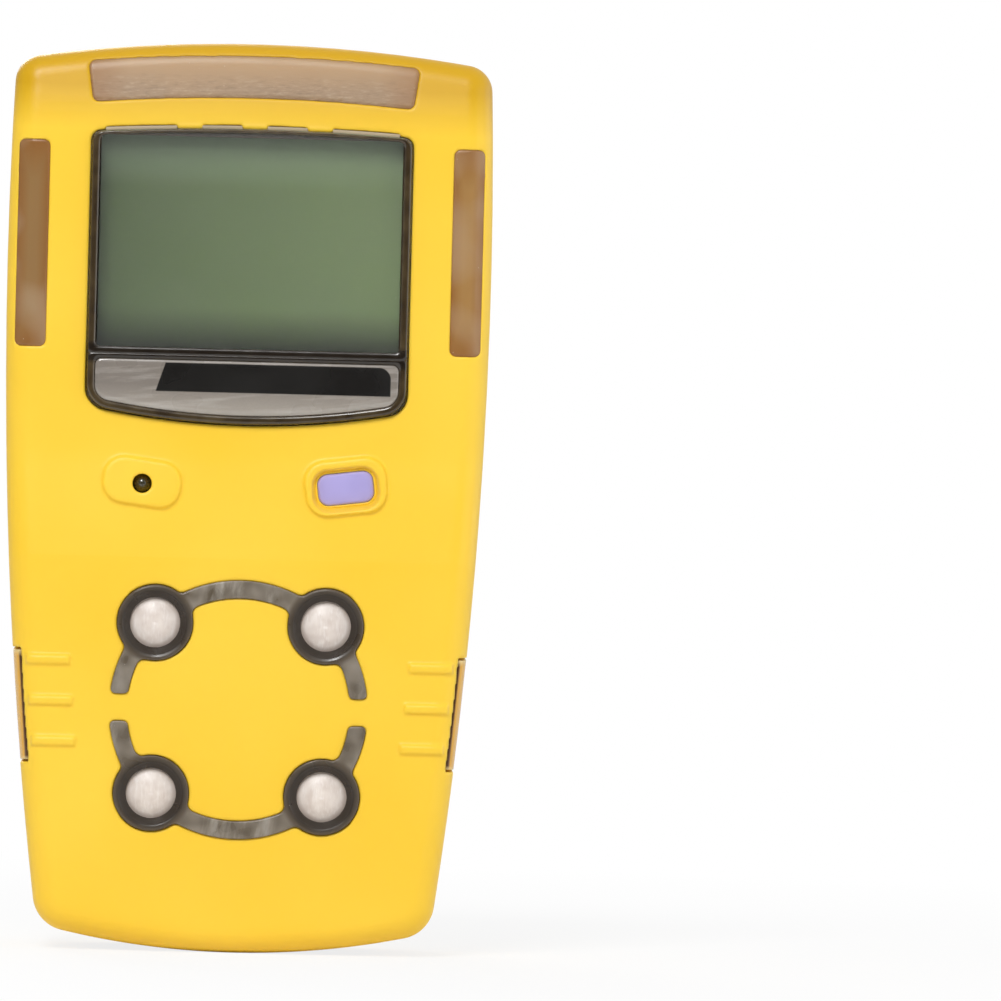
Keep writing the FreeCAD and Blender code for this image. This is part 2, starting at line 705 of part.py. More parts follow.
def bar_outline(grow):
    low, high = f"(BarFootWidth/2+{grow})", f"(BarTopWidth/2+{grow})"
    return [
        (f"-{low}", f"BarFoot-{grow}", f"-BarRadius"),
        (low, f"BarFoot-{grow}"),
        (high, f"BarTop+{grow}", "BarRadius"),
        (f"-{high}", f"BarTop+{grow}"),
    ]


def side_bar_outline(side, grow):
    near, far = f"(SideLightInner-{grow})", f"(SideLightOuter+{grow})"
    left, right = (near, far) if side > 0 else (f"-{far}", f"-{near}")
    return rectangle(left, right, f"SideLightFoot-{grow}", f"SideLightTop+{grow}")


def bar_prism(name, outline, back, grow):
    corner = f"SideLightCorner+{grow}"
    return soft_prism(name, outline, FRONT, back, corner, corner)


lens_skin = cut("lens_skin", below_lenses, cover_floor)
top_bar = bar_prism("top_bar", bar_outline("0"), "0", "0")
top_bar_hole = bar_prism("top_bar_hole", bar_outline("Clearance"), "0", "Clearance")
publish("alarm_lens_top", common("top_lens", lens_skin, top_bar))
side_bar_holes = []
for side, word in ((1, "right"), (-1, "left")):
    outline = side_bar_outline(side, "0")
    bar = bar_prism(f"{word}_bar", outline, cover_back_flat, "0")
    publish(f"alarm_lens_{word}", common(f"{word}_lens", below_lenses, bar))
    hole = side_bar_outline(side, "Clearance")
    side_bar_holes.append(bar_prism(f"{word}_bar_hole", hole, cover_back_flat, "Clearance"))

# ---- the rubber round the gas openings -------------------------------------------------

SENSORS = {
    "oxygen_sensor": ("-SensorPitch/2", "SensorLevel+SensorPitch/2"),
    "combustible_sensor": ("SensorPitch/2", "SensorLevel+SensorPitch/2"),
    "carbon_monoxide_sensor": ("-SensorPitch/2", "SensorLevel-SensorPitch/2"),
    "hydrogen_sulfide_sensor": ("SensorPitch/2", "SensorLevel-SensorPitch/2"),
}
FILTERS = [f"gas_filter_{row}_{side}" for row in ("upper", "lower") for side in ("left", "right")]

ring_of_arcs = cut(
    "arc_ring",
    rod("arc_outer", "Y", ("0", "SensorLevel"), "ArcRadius+ArcWidth/2", FRONT, "0"),
    rod("arc_inner", "Y", ("0", "SensorLevel"), "ArcRadius-ArcWidth/2", FRONT, "0"),
)
band_skin = cut("band_skin", proud_of_arcs, below_arcs)
dome_reach = "(WellThroat-Clearance/2)"
dome_rise = "(FilterCrown-FilterSeat)"
dome_radius = f"({dome_reach}^2+{dome_rise}^2)/(2*{dome_rise})"
bands = []
for word, low, high, rows in (
    ("upper", "SensorLevel+ArcGap/2", "CaseHeight", list(SENSORS.values())[:2]),
    ("lower", "-Overrun", "SensorLevel-ArcGap/2", list(SENSORS.values())[2:]),
):
    half_ring = common(f"{word}_arc", ring_of_arcs, slab(f"{word}_arc_zone", FRONT, "0", low, high))
    discs = [rod(f"{word}_disc", "Y", place, "CollarRadius", FRONT, "0") for place in rows]
    joined = fuse(f"{word}_outline", half_ring, *discs)
    joined.Refine = True
    doc.recompute()
    tail_level = size("SensorLevel+ArcGap/2" if word == "upper" else "SensorLevel-ArcGap/2")
    blended = rounded(
        f"{word}_blended", joined, "ArcBlend",
        lambda edge, shape: runs_along(edge, Vector(0, 1, 0))
        and abs(edge.Vertexes[0].Z - tail_level) > 0.01
        and len(shape.ancestorsOfType(edge, Part.Face)) == 2,
    )
    softened = rounded(
        f"{word}_softened", blended, "ArcBlend/2",
        lambda edge, shape: runs_along(edge, Vector(0, 1, 0)) and abs(edge.Vertexes[0].Z - tail_level) < 0.01,
    )
    band = common(f"{word}_band", softened, band_skin)
    bands.append(band)
    wells = [rod(f"{word}_well", "Y", place, "(CollarRadius+WellMouth)/2", FRONT, "0") for place in rows]
    crown = "-(CrownLevel+ArcProud)"
    collar_profile = [
        ("CollarRadius", "-SensorFace"),
        ("WellThroat-0.5", "-SensorFace"),
        ("WellThroat-0.5", "-FilterBack"),
        ("FilterRadius+Clearance", "-FilterBack"),
        ("FilterRadius+Clearance", "-FilterSeat"),
        ("WellThroat", "-FilterSeat"),
        ("WellThroat", "-FilterSeat-0.3"),
        ("WellMouth", f"{crown}+0.25", "0.3"),
        ("WellMouth+0.3", crown),
        ("CollarRadius-0.3", crown, "0.3"),
        ("CollarRadius", f"{crown}+0.3"),
    ]
    collars = [turned(f"{word}_collar", collar_profile, *place) for place in rows]
    publish(f"sensor_gasket_{word}", fuse(f"{word}_gasket", cut(f"{word}_arms", band, *wells), *collars))

filter_profile = [
    ("0", "-FilterBack"),
    ("0", "-FilterCrown", dome_radius),
    (dome_reach, "-FilterSeat"),
    ("FilterRadius", "-FilterSeat"),
    ("FilterRadius", "-FilterBack"),
]
for name, place in zip(FILTERS, SENSORS.values()):
    publish(name, turned(name + "_disc", filter_profile, *place))

# ---- the button and the sounder port ---------------------------------------------------

key_place = ("KeyAcross", "KeyLevel")
port_place = ("-KeyAcross", "KeyLevel")
key_outline = rounded_rectangle("KeyWidth", "KeyHeight", "KeyCorner")
key_hole_outline = rounded_rectangle("KeyWidth", "KeyHeight", "KeyCorner", "KeyGap")
rim_foot = "-(DisplayFace-CoverWall/2)"
rim_spread = "((BulgeFace-DisplayFace)/2+RimProud)*tan(RimSlope)"
rim_flank = tapered(
    "rim_flank", rounded_rectangle("RimWidth", "RimHeight", "RimCorner", rim_spread),
    f"{rim_foot}-3", rim_foot, key_place, "-KeyTilt", "-RimSlope",
)
key_mound = common("key_mound", proud_of_rims, rim_flank)
key_dish = tapered(
    "key_dish", key_hole_outline, f"{rim_foot}-3", rim_foot, key_place, "-KeyTilt", "RimSlope",
)
crest_level = "DisplayFace+CrestRise"
key_rim = crest_softened("key_rim", cut("key_ring", key_mound, key_dish), "RimSoft", crest_level)
key_hole = padded("key_hole", [key_hole_outline], FRONT, "-PanelBoardFace", key_place, "-KeyTilt")

port_outline = rounded_rectangle("PortWidth", "PortHeight", "RimCorner", rim_spread)
port_flank = tapered(
    "port_flank", port_outline, f"{rim_foot}-3", rim_foot, port_place, "KeyTilt", "-RimSlope",
)
port_mound = common("port_mound", proud_of_rims, port_flank)
port_pad = crest_softened("port_pad", port_mound, "PadSoft", crest_level)
port_hole = rod("port_hole", "Y", port_place, "PortRadius", FRONT, "-PanelBoardFace")

# ---- finger ribs and side catches ------------------------------------------------------


def half_width(level):
    return f"(CaseWidth/2-(WidestLevel-({level}))^2/(2*SideRadius))"


def grip_rib(side, row):
    level = f"(GripTop-{row}*GripPitch)"
    far = f"({half_width(level)}-GripInset)"
    ends = (f"{far}-GripLength", far) if side > 0 else (f"-{far}", f"-({far}-GripLength)")
    levels = (f"{level}-GripHeight/2", f"{level}+GripHeight/2")
    return box("grip_rib", ends, (FRONT, "-DisplayFace+CoverWall"), levels)


rib_boxes = fuse("rib_boxes", *[grip_rib(side, row) for side in (1, -1) for row in range(3)])
rib_bars = common("rib_bars", proud_of_grips, rib_boxes)
grip_ribs = crest_softened("grip_ribs", rib_bars, "GripSoft", "FootFace")
catch_core = column("catch_core", "CatchDepth")
catch_opening = cut(
    "catch_opening", slab("catch_zone", "-CatchFront", "SplitFace", "CatchFoot", "CatchTop"), catch_core
)
catch_slab = slab(
    "catch_slab", "-CatchFront+CatchGap", "SplitFace", "CatchFoot+CatchGap", "CatchTop-CatchGap"
)
catches = cut("catches", common("catch_layer", below_catches, catch_slab), catch_core)

# ---- the soft cover --------------------------------------------------------------------

sensor_holes = [
    rod("gas_opening", "Y", place, "CollarRadius+Clearance/2", FRONT, "-SensorFace+1.5")
    for place in SENSORS.values()
]
cover_slab = slab("cover_slab", FRONT, "SplitFace-SeamGap")
cover_block = common("cover_block", outer, cover_slab)
cover_raised = cut("cover_raised", fuse("cover_full", cover_block, key_rim, port_pad, grip_ribs), cover_floor)
window_hole = window_prism("window_hole", "Clearance", FRONT, cover_back_flat)
cover_open = cut(
    "cover_open", cover_raised, window_hole, strip_full, top_bar_hole, *side_bar_holes,
    *bands, *sensor_holes, key_dish, key_hole, port_hole, catch_opening,
)
publish("front_cover", fuse("cover", cover_open, cover_tabs))

# ---- the hard frame --------------------------------------------------------------------

BOSSES = [
    (f"{sign}{across}", level)
    for across, level in (
        ("TopBossAcross", "TopBossLevel"),
        ("MidBossAcross", "MidBossLevel"),
        ("LowBossAcross", "LowBossLevel"),
    )
    for sign in ("-", "")
]
POSTS = [
    (f"{sign}{across}", level)
    for across, level in (("PostLowAcross", "PostLowLevel"), ("PostHighAcross", "PostHighLevel"))
    for sign in ("-", "")
]

frame_slab = slab("frame_slab", FRONT, "SplitFace")
frame_skin = cut("frame_skin", common("frame_block", inner, frame_slab), cavity)
frame_bosses = [rod("frame_boss", "Y", place, "BossRadius", FRONT, "SplitFace") for place in BOSSES]
frame_posts = [rod("frame_post", "Y", place, "PostRadius", FRONT, "-PanelBoardFace") for place in POSTS]
frame_studs = common("frame_studs", inner, fuse("frame_stud_rods", *frame_bosses, *frame_posts))
frame_full = fuse("frame_full", frame_skin, frame_studs, catches)
view_opening = box(
    "view_opening", ("-(WindowWidth/2-WindowLedge)", "WindowWidth/2-WindowLedge"),
    (FRONT, "0"), ("ViewFoot", "ViewTop"),
)
holder_half = "(GlassWidth/2+Clearance+HolderWall)"
holder_foot = "(LedgeFoot-Clearance-HolderWall)"
holder_top = "(GlassTop+Clearance+HolderWall)"
glass_seat = box(
    "glass_seat", (f"-{holder_half}", holder_half), (frame_back_flat, "0"), (holder_foot, holder_top)
)
membrane_front = "-(DisplayFace-CoverWall+0.1)"
membrane_hole = rod("membrane_hole", "Y", port_place, "1.5*PortRadius", membrane_front, "-PanelBoardFace")
insert_holes = [
    rod("insert_hole", "Y", place, "InsertRadius", "SplitFace-InsertLength", "SplitFace") for place in BOSSES
]
pilot_holes = [
    rod("pilot_hole", "Y", place, "ScrewRadius", "SplitFace-InsertLength-1", "SplitFace") for place in BOSSES
]
post_holes = [
    rod("post_hole", "Y", place, "PostScrew", "-PanelBoardFace-3", "-PanelBoardFace") for place in POSTS
]
publish("front_frame", cut(
    "frame", frame_full, view_opening, glass_seat, *sensor_holes, key_hole, port_hole, membrane_hole,
    *insert_holes, *pilot_holes, *post_holes,
))
publish("case_inserts", *[
    cut("case_insert",
        rod("insert_body", "Y", place, "InsertRadius", "SplitFace-InsertLength", "SplitFace"),
        rod("insert_bore", "Y", place, "ScrewRadius", "SplitFace-InsertLength", "SplitFace"))
    for place in BOSSES
])

# ---- the rear shell, its seal and screws -----------------------------------------------

shell_slab = slab("shell_slab", "SplitFace", "CaseWidth")
shell_skin = cut("shell_skin", common("shell_block", outer, shell_slab), cavity)
rear_bosses = common("rear_bosses", outer, fuse("rear_boss_rods", *[
    rod("rear_boss", "Y", place, "RearBossRadius", "SplitFace", "BackFace") for place in BOSSES
]))
clip_places = [("0", "ClipScrewHigh"), ("0", "ClipScrewLow")]
clip_insert = "(ClipScrewRadius+0.8)"
clip_insert_front = "(BackFace-BackWall-2.3)"
clip_bosses = [
    rod("clip_boss", "Y", place, f"{clip_insert}+1.2", clip_insert_front, "BackFace-BackWall/2")
    for place in clip_places
]
clip_insert_holes = [
    rod("clip_insert_hole", "Y", place, clip_insert, clip_insert_front, "BackFace") for place in clip_places
]
counterbores = [rod("counterbore", "Y", place, "CounterRadius", "HeadSeat", "CaseWidth") for place in BOSSES]
shank_holes = [rod("shank_hole", "Y", place, "ShankHole", "SplitFace", "HeadSeat") for place in BOSSES]


def seal_ring(name):
    outside, inside = column(name + "_outside", "SealInset"), column(name + "_inside", "SealInset+SealWidth")
    zone = slab(name + "_zone", "SplitFace", "SplitFace+SealHeight")
    return cut(name, common(name + "_band", outside, zone), inside)


case_seal = seal_ring("seal_ring")
publish("case_seal", case_seal)
label_recess = box(
    "label_recess", ("-LabelWidth/2", "LabelWidth/2"), ("BackFace-LabelThick", "BackFace"),
    ("LabelFoot", "LabelTop"),
)
port_body = box(
    "port_body", ("-PortLength/2", "PortLength/2"),
    ("PortMiddle-PortDepth/2", "PortMiddle+PortDepth/2"), ("PortSink", "PortInside"),
)
port_opening = box(
    "port_opening", ("-PortLength/2", "PortLength/2"),
    ("PortMiddle-PortDepth/2", "PortMiddle+PortDepth/2"), ("-Overrun", "PortInside"),
)
signal_place = ("-PortLength/2-5", "PortMiddle")
signal_foot = "(FootRadius-sqrt(FootRadius^2-(PortLength/2+6.5)^2)+0.2)"
signal_window = rod("signal_window", "Z", signal_place, "1.5", signal_foot, "CoverWall+FrameWall+1")
signal_hole = rod("signal_hole", "Z", signal_place, "1.5+Clearance/2", "-Overrun", "CoverWall+FrameWall+1.5")
publish("back_shell", cut(
    "shell", fuse("shell_full", shell_skin, rear_bosses, *clip_bosses), *counterbores, *shank_holes,
    *clip_insert_holes, case_seal, label_recess, port_opening, signal_hole,
))
publish("rear_label", label_recess)
publish("infrared_window", signal_window)


def hex_screw(name, place, head_radius, head, shank_radius, tip, socket):
    """A screw along Y: head between two depths, shank forward to the tip, hexagon socket."""
    low, high = head
    solid = fuse(
        name + "_solid",
        rod(name + "_head", "Y", place, head_radius, low, high),
        rod(name + "_shank", "Y", place, shank_radius, tip, low),
    )
    key = fresh("Part::Prism", name + "_socket")
    key.Polygon = 6
    key.Placement = Placement(Vector(), AXIS_TURNS["Y"])
    bind(key, {"Circumradius": socket, "Height": f"({high})-({low})"})
    bind(key, {"Placement.Base.x": place[0], "Placement.Base.y": f"({low})+0.5*(({high})-({low}))"})
    bind(key, {"Placement.Base.z": place[1]})
    return cut(name, solid, key)


publish("case_screws", *[
    hex_screw(
        "case_screw", place, "ScrewHead", ("HeadSeat", "HeadSeat+HeadHeight"), "ScrewRadius",
        "SplitFace-InsertLength+0.5", "ScrewHead/2",
    )
    for place in BOSSES
])

# ---- sensors, their carrier and sockets ------------------------------------------------

sensor_back = "(SensorLength-SensorFace)"
board_back = "(BoardFace+BoardThick)"
can_profile = [
    ("WellThroat-0.5", "-SensorFace+0.8"),
    ("WellThroat-0.5", "-SensorFace"),
    ("SensorRadius-0.5", "-SensorFace"),
    ("SensorRadius", "-SensorFace+0.5"),
    ("SensorRadius", f"{sensor_back}-0.5"),
    ("SensorRadius-0.5", sensor_back),
    ("0", sensor_back),
    ("0", "-SensorFace+0.8"),
]


def pin_places(place):
    return [
        (f"{place[0]}+PinCircle*cos({angle})", f"{place[1]}+PinCircle*sin({angle})")
        for angle in (90, 210, 330)
    ]


for name, place in SENSORS.items():
    can = turned(name + "_can", can_profile, *place)
    pins = [rod(name + "_pin", "Y", pin, "PinRadius", sensor_back, board_back) for pin in pin_places(place)]
    publish(name, fuse(name + "_body", can, *pins))

socket_profile = [
    ("PinRadius", board_back),
    ("PinRadius", f"{sensor_back}+0.2"),
    ("SocketRadius", f"{sensor_back}+0.2"),
    ("SocketRadius", "BoardFace"),
    ("SocketRadius-0.3", "BoardFace"),
    ("SocketRadius-0.3", board_back),
]
socket_places = [pin for place in SENSORS.values() for pin in pin_places(place)]
publish("sensor_sockets", *[turned("pin_socket", socket_profile, *place) for place in socket_places])

carrier_half = "(SensorPitch/2+SensorRadius+CarrierWall)"
carrier_foot, carrier_top = f"(SensorLevel-{carrier_half})", f"(SensorLevel+{carrier_half})"
carrier_corner = "SensorRadius+CarrierWall"
carrier_prism = soft_prism(
    "carrier_prism", rectangle(f"-{carrier_half}", carrier_half, carrier_foot, carrier_top),
    FRONT, "-CarrierBack", carrier_corner, carrier_corner,
)
sensor_bores = [
    rod("sensor_bore", "Y", place, "SensorRadius+Clearance/2", FRONT, "SplitFace")
    for place in SENSORS.values()
]
carrier_reach = case_block("carrier_block", "CoverWall+FrameWall+Clearance", "BackWall", soft=False)
publish("sensor_carrier", cut("carrier", common("carrier_body", carrier_reach, carrier_prism), *sensor_bores))

# ---- boards, posts and what is mounted on them -----------------------------------------


def post_circles():
    return [("circle", *place, "PostScrew+0.05") for place in POSTS]


main_outline = rectangle("-BoardWidth/2", "BoardWidth/2", "BoardFoot", "BoardTop")
socket_circles = [("circle", *place, "SocketRadius-0.3") for place in socket_places]
publish("main_board", padded(
    "main_panel", [main_outline, *post_circles(), *socket_circles], "BoardFace", board_back
))

panel_back = "(-PanelBoardFace+BoardThick)"
panel_outline = [
    ("-PanelBoardNeck/2", "PanelBoardFoot"),
    ("PanelBoardNeck/2", "PanelBoardFoot"),
    ("PanelBoardNeck/2", "PanelBoardStepLow"),
    ("PanelBoardWidth/2", "PanelBoardStepLow"),
    ("PanelBoardWidth/2", "PanelBoardStepHigh"),
    ("PanelBoardNeck/2", "PanelBoardStepHigh"),
    ("PanelBoardNeck/2", "BoardTop"),
    ("-PanelBoardNeck/2", "BoardTop"),
    ("-PanelBoardNeck/2", "PanelBoardStepHigh"),
    ("-PanelBoardWidth/2", "PanelBoardStepHigh"),
    ("-PanelBoardWidth/2", "PanelBoardStepLow"),
    ("-PanelBoardNeck/2", "PanelBoardStepLow"),
]
publish("display_board", padded("panel", [panel_outline, *post_circles()], "-PanelBoardFace", panel_back))
publish("board_spacers", *[
    cut("board_spacer",
        rod("spacer_body", "Y", place, "PostRadius", panel_back, "BoardFace"),
        rod("spacer_bore", "Y", place, "PostScrew+0.05", panel_back, "BoardFace"))
    for place in POSTS
])
publish("board_screws", *[
    hex_screw(
        "board_screw", place, "PostRadius-0.2", (board_back, f"{board_back}+1"), "PostScrew",
        "-PanelBoardFace-2.5", "PostRadius/2",
    )
    for place in POSTS
])


def chip(centre, level, width, height, thick):
    return box(
        "chip", (f"{centre}-{width}/2", f"{centre}+{width}/2"), (f"BoardFace-{thick}", "BoardFace"),
        (f"{level}-{height}/2", f"{level}+{height}/2"),
    )


publish(
    "board_chips",
    chip("-9", "BoardFoot+68", "10", "10", "1.4"),
    chip("8", "BoardFoot+70", "6", "5", "1.2"),
    chip("8", "BoardFoot+62.5", "5", "4", "1.5"),
    chip("-14", "BoardFoot+55", "4", "6", "1.8"),
    chip("14.5", "BoardFoot+54", "3.2", "5", "1.6"),
    chip("16", "BoardFoot+76", "2.5", "2.5", "1"),
    chip("15.5", "BoardFoot+68", "2", "3.2", "0.9"),
)
publish("board_connector", box(
    "connector_body", ("-9", "9"), (panel_back, "BoardFace"), ("SlopeTop+1", "SlopeTop+3.6")
))

# ---- the display stack -----------------------------------------------------------------

glass_front = f"({frame_back_flat}+FoamThick)"
glass_middle = f"({glass_front}+GlassThick)"
glass_back = f"({glass_middle}+GlassThick)"
guide_back = f"({glass_back}+GuideThick)"
across_glass = ("-GlassWidth/2", "GlassWidth/2")
foam_body = box("foam_body", across_glass, (frame_back_flat, glass_front), ("LedgeFoot", "GlassTop"))
publish("display_foam", cut("foam", foam_body, view_opening))
publish(
    "display_glass",
    box("front_glass", across_glass, (glass_front, glass_middle), ("LedgeFoot", "GlassTop")),
    box("rear_glass", across_glass, (glass_middle, glass_back), ("GlassFoot", "GlassTop")),
)
publish("light_guide", box("guide", across_glass, (glass_back, guide_back), ("GlassFoot", "GlassTop")))
strip_span = ("-GlassWidth/2+3", "GlassWidth/2-3")
strip_levels = ("LedgeFoot+0.2", "GlassFoot-0.5")
publish("contact_strip", box("zebra", strip_span, (glass_middle, "-PanelBoardFace"), strip_levels))
holder_body = box(
    "holder_body", (f"-{holder_half}", holder_half), (glass_front, "-PanelBoardFace"),
    (holder_foot, holder_top),
)
holder_pocket = box(
    "holder_pocket", ("-(GlassWidth/2+Clearance)", "GlassWidth/2+Clearance"), (FRONT, guide_back),
    ("LedgeFoot-Clearance", "GlassTop+Clearance"),
)
holder_slot = box(
    "holder_slot", strip_span, (FRONT, "0"), strip_levels,
)
publish("display_holder", cut("holder", holder_body, holder_pocket, holder_slot))

# ---- alarms and the button -------------------------------------------------------------


def lamp(across, level, width, height):
    body = box(
        "lamp_body", (f"{across}-{width}/2", f"{across}+{width}/2"),
        ("-PanelBoardFace-LampHeight", "-PanelBoardFace"), (f"{level}-{height}/2", f"{level}+{height}/2"),
    )
    front = "-PanelBoardFace-LampHeight"
    dome = rod("lamp_dome", "Y", (across, level), f"{width}/4", f"{front}-0.3", front)
    return fuse("lamp", body, dome)


side_lamp = "(PanelBoardWidth/2-LampWidth/2-0.3)"
side_lamp_level = "(SideLightFoot+SideLightTop)/2"
top_lamps = [lamp(across, "PostHighLevel", "LampLength", "LampWidth") for across in ("-9", "0", "9")]
side_lamps = [lamp(sign + side_lamp, side_lamp_level, "LampWidth", "LampLength") for sign in "-+"]
publish("alarm_lamps", *top_lamps, *side_lamps)
sounder_front = "(-PanelBoardFace-SounderHeight)"
publish("sounder", cut(
    "sounder_cut",
    rod("sounder_can", "Y", port_place, "SounderRadius", sounder_front, "-PanelBoardFace"),
    rod("sounder_mouth", "Y", port_place, "PortRadius", sounder_front, f"{sounder_front}+0.8"),
))
publish("sounder_seal", common("sounder_gasket", cavity, cut(
    "sounder_ring",
    rod("ring_outside", "Y", port_place, "SounderRadius-0.2", FRONT, sounder_front),
    rod("ring_inside", "Y", port_place, "1.5*PortRadius+0.4", FRONT, sounder_front),
)))
publish("sounder_membrane", rod(
    "membrane", "Y", port_place, "1.5*PortRadius", membrane_front, f"{membrane_front}+0.4"
))
switch_front = "(-PanelBoardFace-SwitchHeight)"
plunger_front = f"({switch_front}-PlungerProud)"
plunger_back = f"({switch_front}+0.25)"
publish("key_switch", cut(
    "switch_cut",
    box(
        "switch_body", ("KeyAcross-SwitchSide/2", "KeyAcross+SwitchSide/2"),
        (switch_front, "-PanelBoardFace"), ("KeyLevel-SwitchSide/2", "KeyLevel+SwitchSide/2"),
    ),
    rod("switch_well", "Y", key_place, "PlungerRadius+0.05", switch_front, f"{plunger_back}+KeyTravel+0.15"),
))
publish("switch_plunger", rod("plunger", "Y", key_place, "PlungerRadius", plunger_front, plunger_back))
key_cap = rounded(
    "key_cap",
    padded("key_block", [key_outline], "-KeyTop", "-FlangeFront+KeyFlange", key_place, "-KeyTilt"),
    "0.35",
    lambda edge, shape: all(vertex.Y < size("-KeyTop") + 0.01 for vertex in edge.Vertexes),
)
key_flange = padded(
    "key_flange", [rounded_rectangle("KeyWidth", "KeyHeight", "KeyCorner", "KeyFlange")],
    "-FlangeFront", "-FlangeFront+KeyFlange", key_place, "-KeyTilt",
)
key_stem = rod("key_stem", "Y", key_place, "PlungerRadius+0.3", "-FlangeFront", plunger_front)
publish("button_cap", fuse("key", key_cap, key_flange, key_stem))

# ---- the vibration motor ---------------------------------------------------------------

motor_line = ("MotorDepth", "MotorLevel")
motor_can = rod("motor_can", "X", motor_line, "MotorRadius", "-MotorLength", "0")
motor_bush = rod("motor_bush", "X", motor_line, "ShaftRadius+ShaftGap", "-MotorLength/2", "0")
publish("vibration_motor", cut("motor", motor_can, motor_bush))
shaft_end = "(WeightLength+1.5)"
publish("motor_shaft", rod("shaft", "X", motor_line, "ShaftRadius", "-MotorLength/2+0.3", shaft_end))
weight_disc = rod("weight_disc", "X", motor_line, "WeightRadius", "1", "WeightLength+1")
weight_zone = box("weight_zone", ("0", "CaseWidth"), ("-CaseWidth", "CaseWidth"), ("0", "MotorLevel-0.2"))
weight_hub = rod("weight_hub", "X", motor_line, "WeightRadius/3", "1", "WeightLength+1")
weight_bore = rod("weight_bore", "X", motor_line, "ShaftRadius", "0", "CaseWidth")
publish("motor_weight", cut(
    "weight", fuse("weight_solid", common("weight_half", weight_disc, weight_zone), weight_hub), weight_bore
))
publish("motor_cradle", cut(
    "cradle",
    box(
        "cradle_body", ("-MotorLength+0.5", "-0.5"), ("MotorDepth", "BoardFace"),
        ("MotorLevel-MotorRadius-1", "MotorLevel+MotorRadius+1"),
    ),
    motor_can,
))

# ---- the battery -----------------------------------------------------------------------

cell_front = f"({board_back}+PadThick)"
cell_back = f"({cell_front}+CellThick)"
across_cell = ("-CellWidth/2", "CellWidth/2")
cell_block = box("cell_block", across_cell, (cell_front, cell_back), ("CellFoot", "CellTop"))
publish("battery_cell", rounded(
    "cell", cell_block, "1.2", lambda edge, shape: runs_along(edge, Vector(0, 0, 1))
))
pad_levels = ("CellFoot+8", "CellTop-8")
publish(
    "battery_pads",
    box("front_pad", ("-CellWidth/3", "CellWidth/3"), (board_back, cell_front), pad_levels),
    box("rear_pad", ("-CellWidth/3", "CellWidth/3"), (cell_back, "BackFace-BackWall"), pad_levels),
)
plug_levels = ("CellTop+3", "CellTop+6.5")
publish("battery_plug", box("plug_body", ("-3", "3"), (board_back, f"{board_back}+3"), plug_levels))
publish("battery_leads", *[
    rod("lead", "Z", (across, f"{board_back}+1.8"), "0.5", "CellTop", plug_levels[0])
    for across in ("-1.2", "1.2")
])

# ---- the charging port -----------------------------------------------------------------

CONTACTS = range(-2, 3)
contact_depth = "0.3"
leg_front = f"(PortMiddle-{contact_depth}/2)"
leg_back = f"(PortMiddle+{contact_depth}/2)"
contact_path = [
    (leg_front, "PortSink"),
    (leg_back, "PortSink"),
    (leg_back, f"PortInside+0.5+{contact_depth}"),
    (f"{board_back}+{contact_depth}", f"PortInside+0.5+{contact_depth}"),
    (f"{board_back}+{contact_depth}", "BoardFoot+1.6"),
    (board_back, "BoardFoot+1.6"),
    (board_back, "PortInside+0.5"),
    (leg_front, "PortInside+0.5"),
]
contact_parts = []
for number in CONTACTS:
    across = f"(({number})*ContactPitch)"
    leg = extruded("contact_leg", [contact_path], f"{across}-0.6", f"{across}+0.6")
    tip = box(
        "contact_tip", (f"{across}-0.8", f"{across}+0.8"), ("PortMiddle-1.2", "PortMiddle+1.2"),
        ("PortSink", "PortSink+0.4"),
    )
    contact_parts.append(fuse("contact", leg, tip))
publish("charge_contacts", *contact_parts)
publish("charge_port", cut("port", port_body, *contact_parts))

# ---- the clip --------------------------------------------------------------------------

plate_face = "(BackFace+ClipThick)"
pin_depth = "(BackFace+HingeStand)"
pin_line = (pin_depth, "HingeLevel")
ear_outer = "(ClipWidth/2)"
ear_inner = "(ClipWidth/2-EarThick)"


def ears(name, far, near, radius, face):
    """A pair of ears that reach from a plate's face to the pin."""
    parts = []
    for low, high in ((near, far), (f"-{far}", f"-{near}")):
        parts.append(rod(name + "_eye", "X", pin_line, radius, low, high))
        depths = (face, pin_depth) if size(face) < size(pin_depth) else (pin_depth, face)
        levels = (f"HingeLevel-{radius}", f"HingeLevel+{radius}")
        parts.append(box(name + "_web", (low, high), depths, levels))
    return parts


base_plate = soft_prism(
    "base_plate", rectangle(f"-{ear_outer}", ear_outer, "ClipFoot", "ClipTop"), "BackFace", plate_face,
    "ClipCorner", "ClipCorner",
)
base_full = fuse("base_full", base_plate, *ears("base_ear", ear_outer, ear_inner, "EarRadius", "BackFace"))
clip_holes = [rod("clip_hole", "Y", place, "ClipScrewRadius+0.1", "0", "CaseWidth") for place in clip_places]
publish("clip_base", cut(
    "base", base_full, rod("base_eye", "X", pin_line, "HingePin", "-CaseWidth", "CaseWidth"), *clip_holes
))
publish("clip_screws", *[
    hex_screw(
        "clip_screw", place, "ClipHeadRadius", (plate_face, f"{plate_face}+1.4"), "ClipScrewRadius",
        f"{clip_insert_front}+0.5", "ClipScrewRadius",
    )
    for place in clip_places
])
publish("clip_inserts", *[
    cut("clip_insert",
        rod("clip_insert_body", "Y", place, clip_insert, clip_insert_front, "BackFace"),
        rod("clip_insert_bore", "Y", place, "ClipScrewRadius", clip_insert_front, "BackFace"))
    for place in clip_places
])
publish("clip_pin", fuse(
    "pin",
    rod("pin_shank", "X", pin_line, "HingePin", f"-{ear_outer}-0.7", f"{ear_outer}+0.7"),
    rod("pin_head", "X", pin_line, "1.7*HingePin", ear_outer, f"{ear_outer}+0.7"),
    rod("pin_rivet", "X", pin_line, "1.7*HingePin", f"-{ear_outer}-0.7", f"-{ear_outer}"),
))

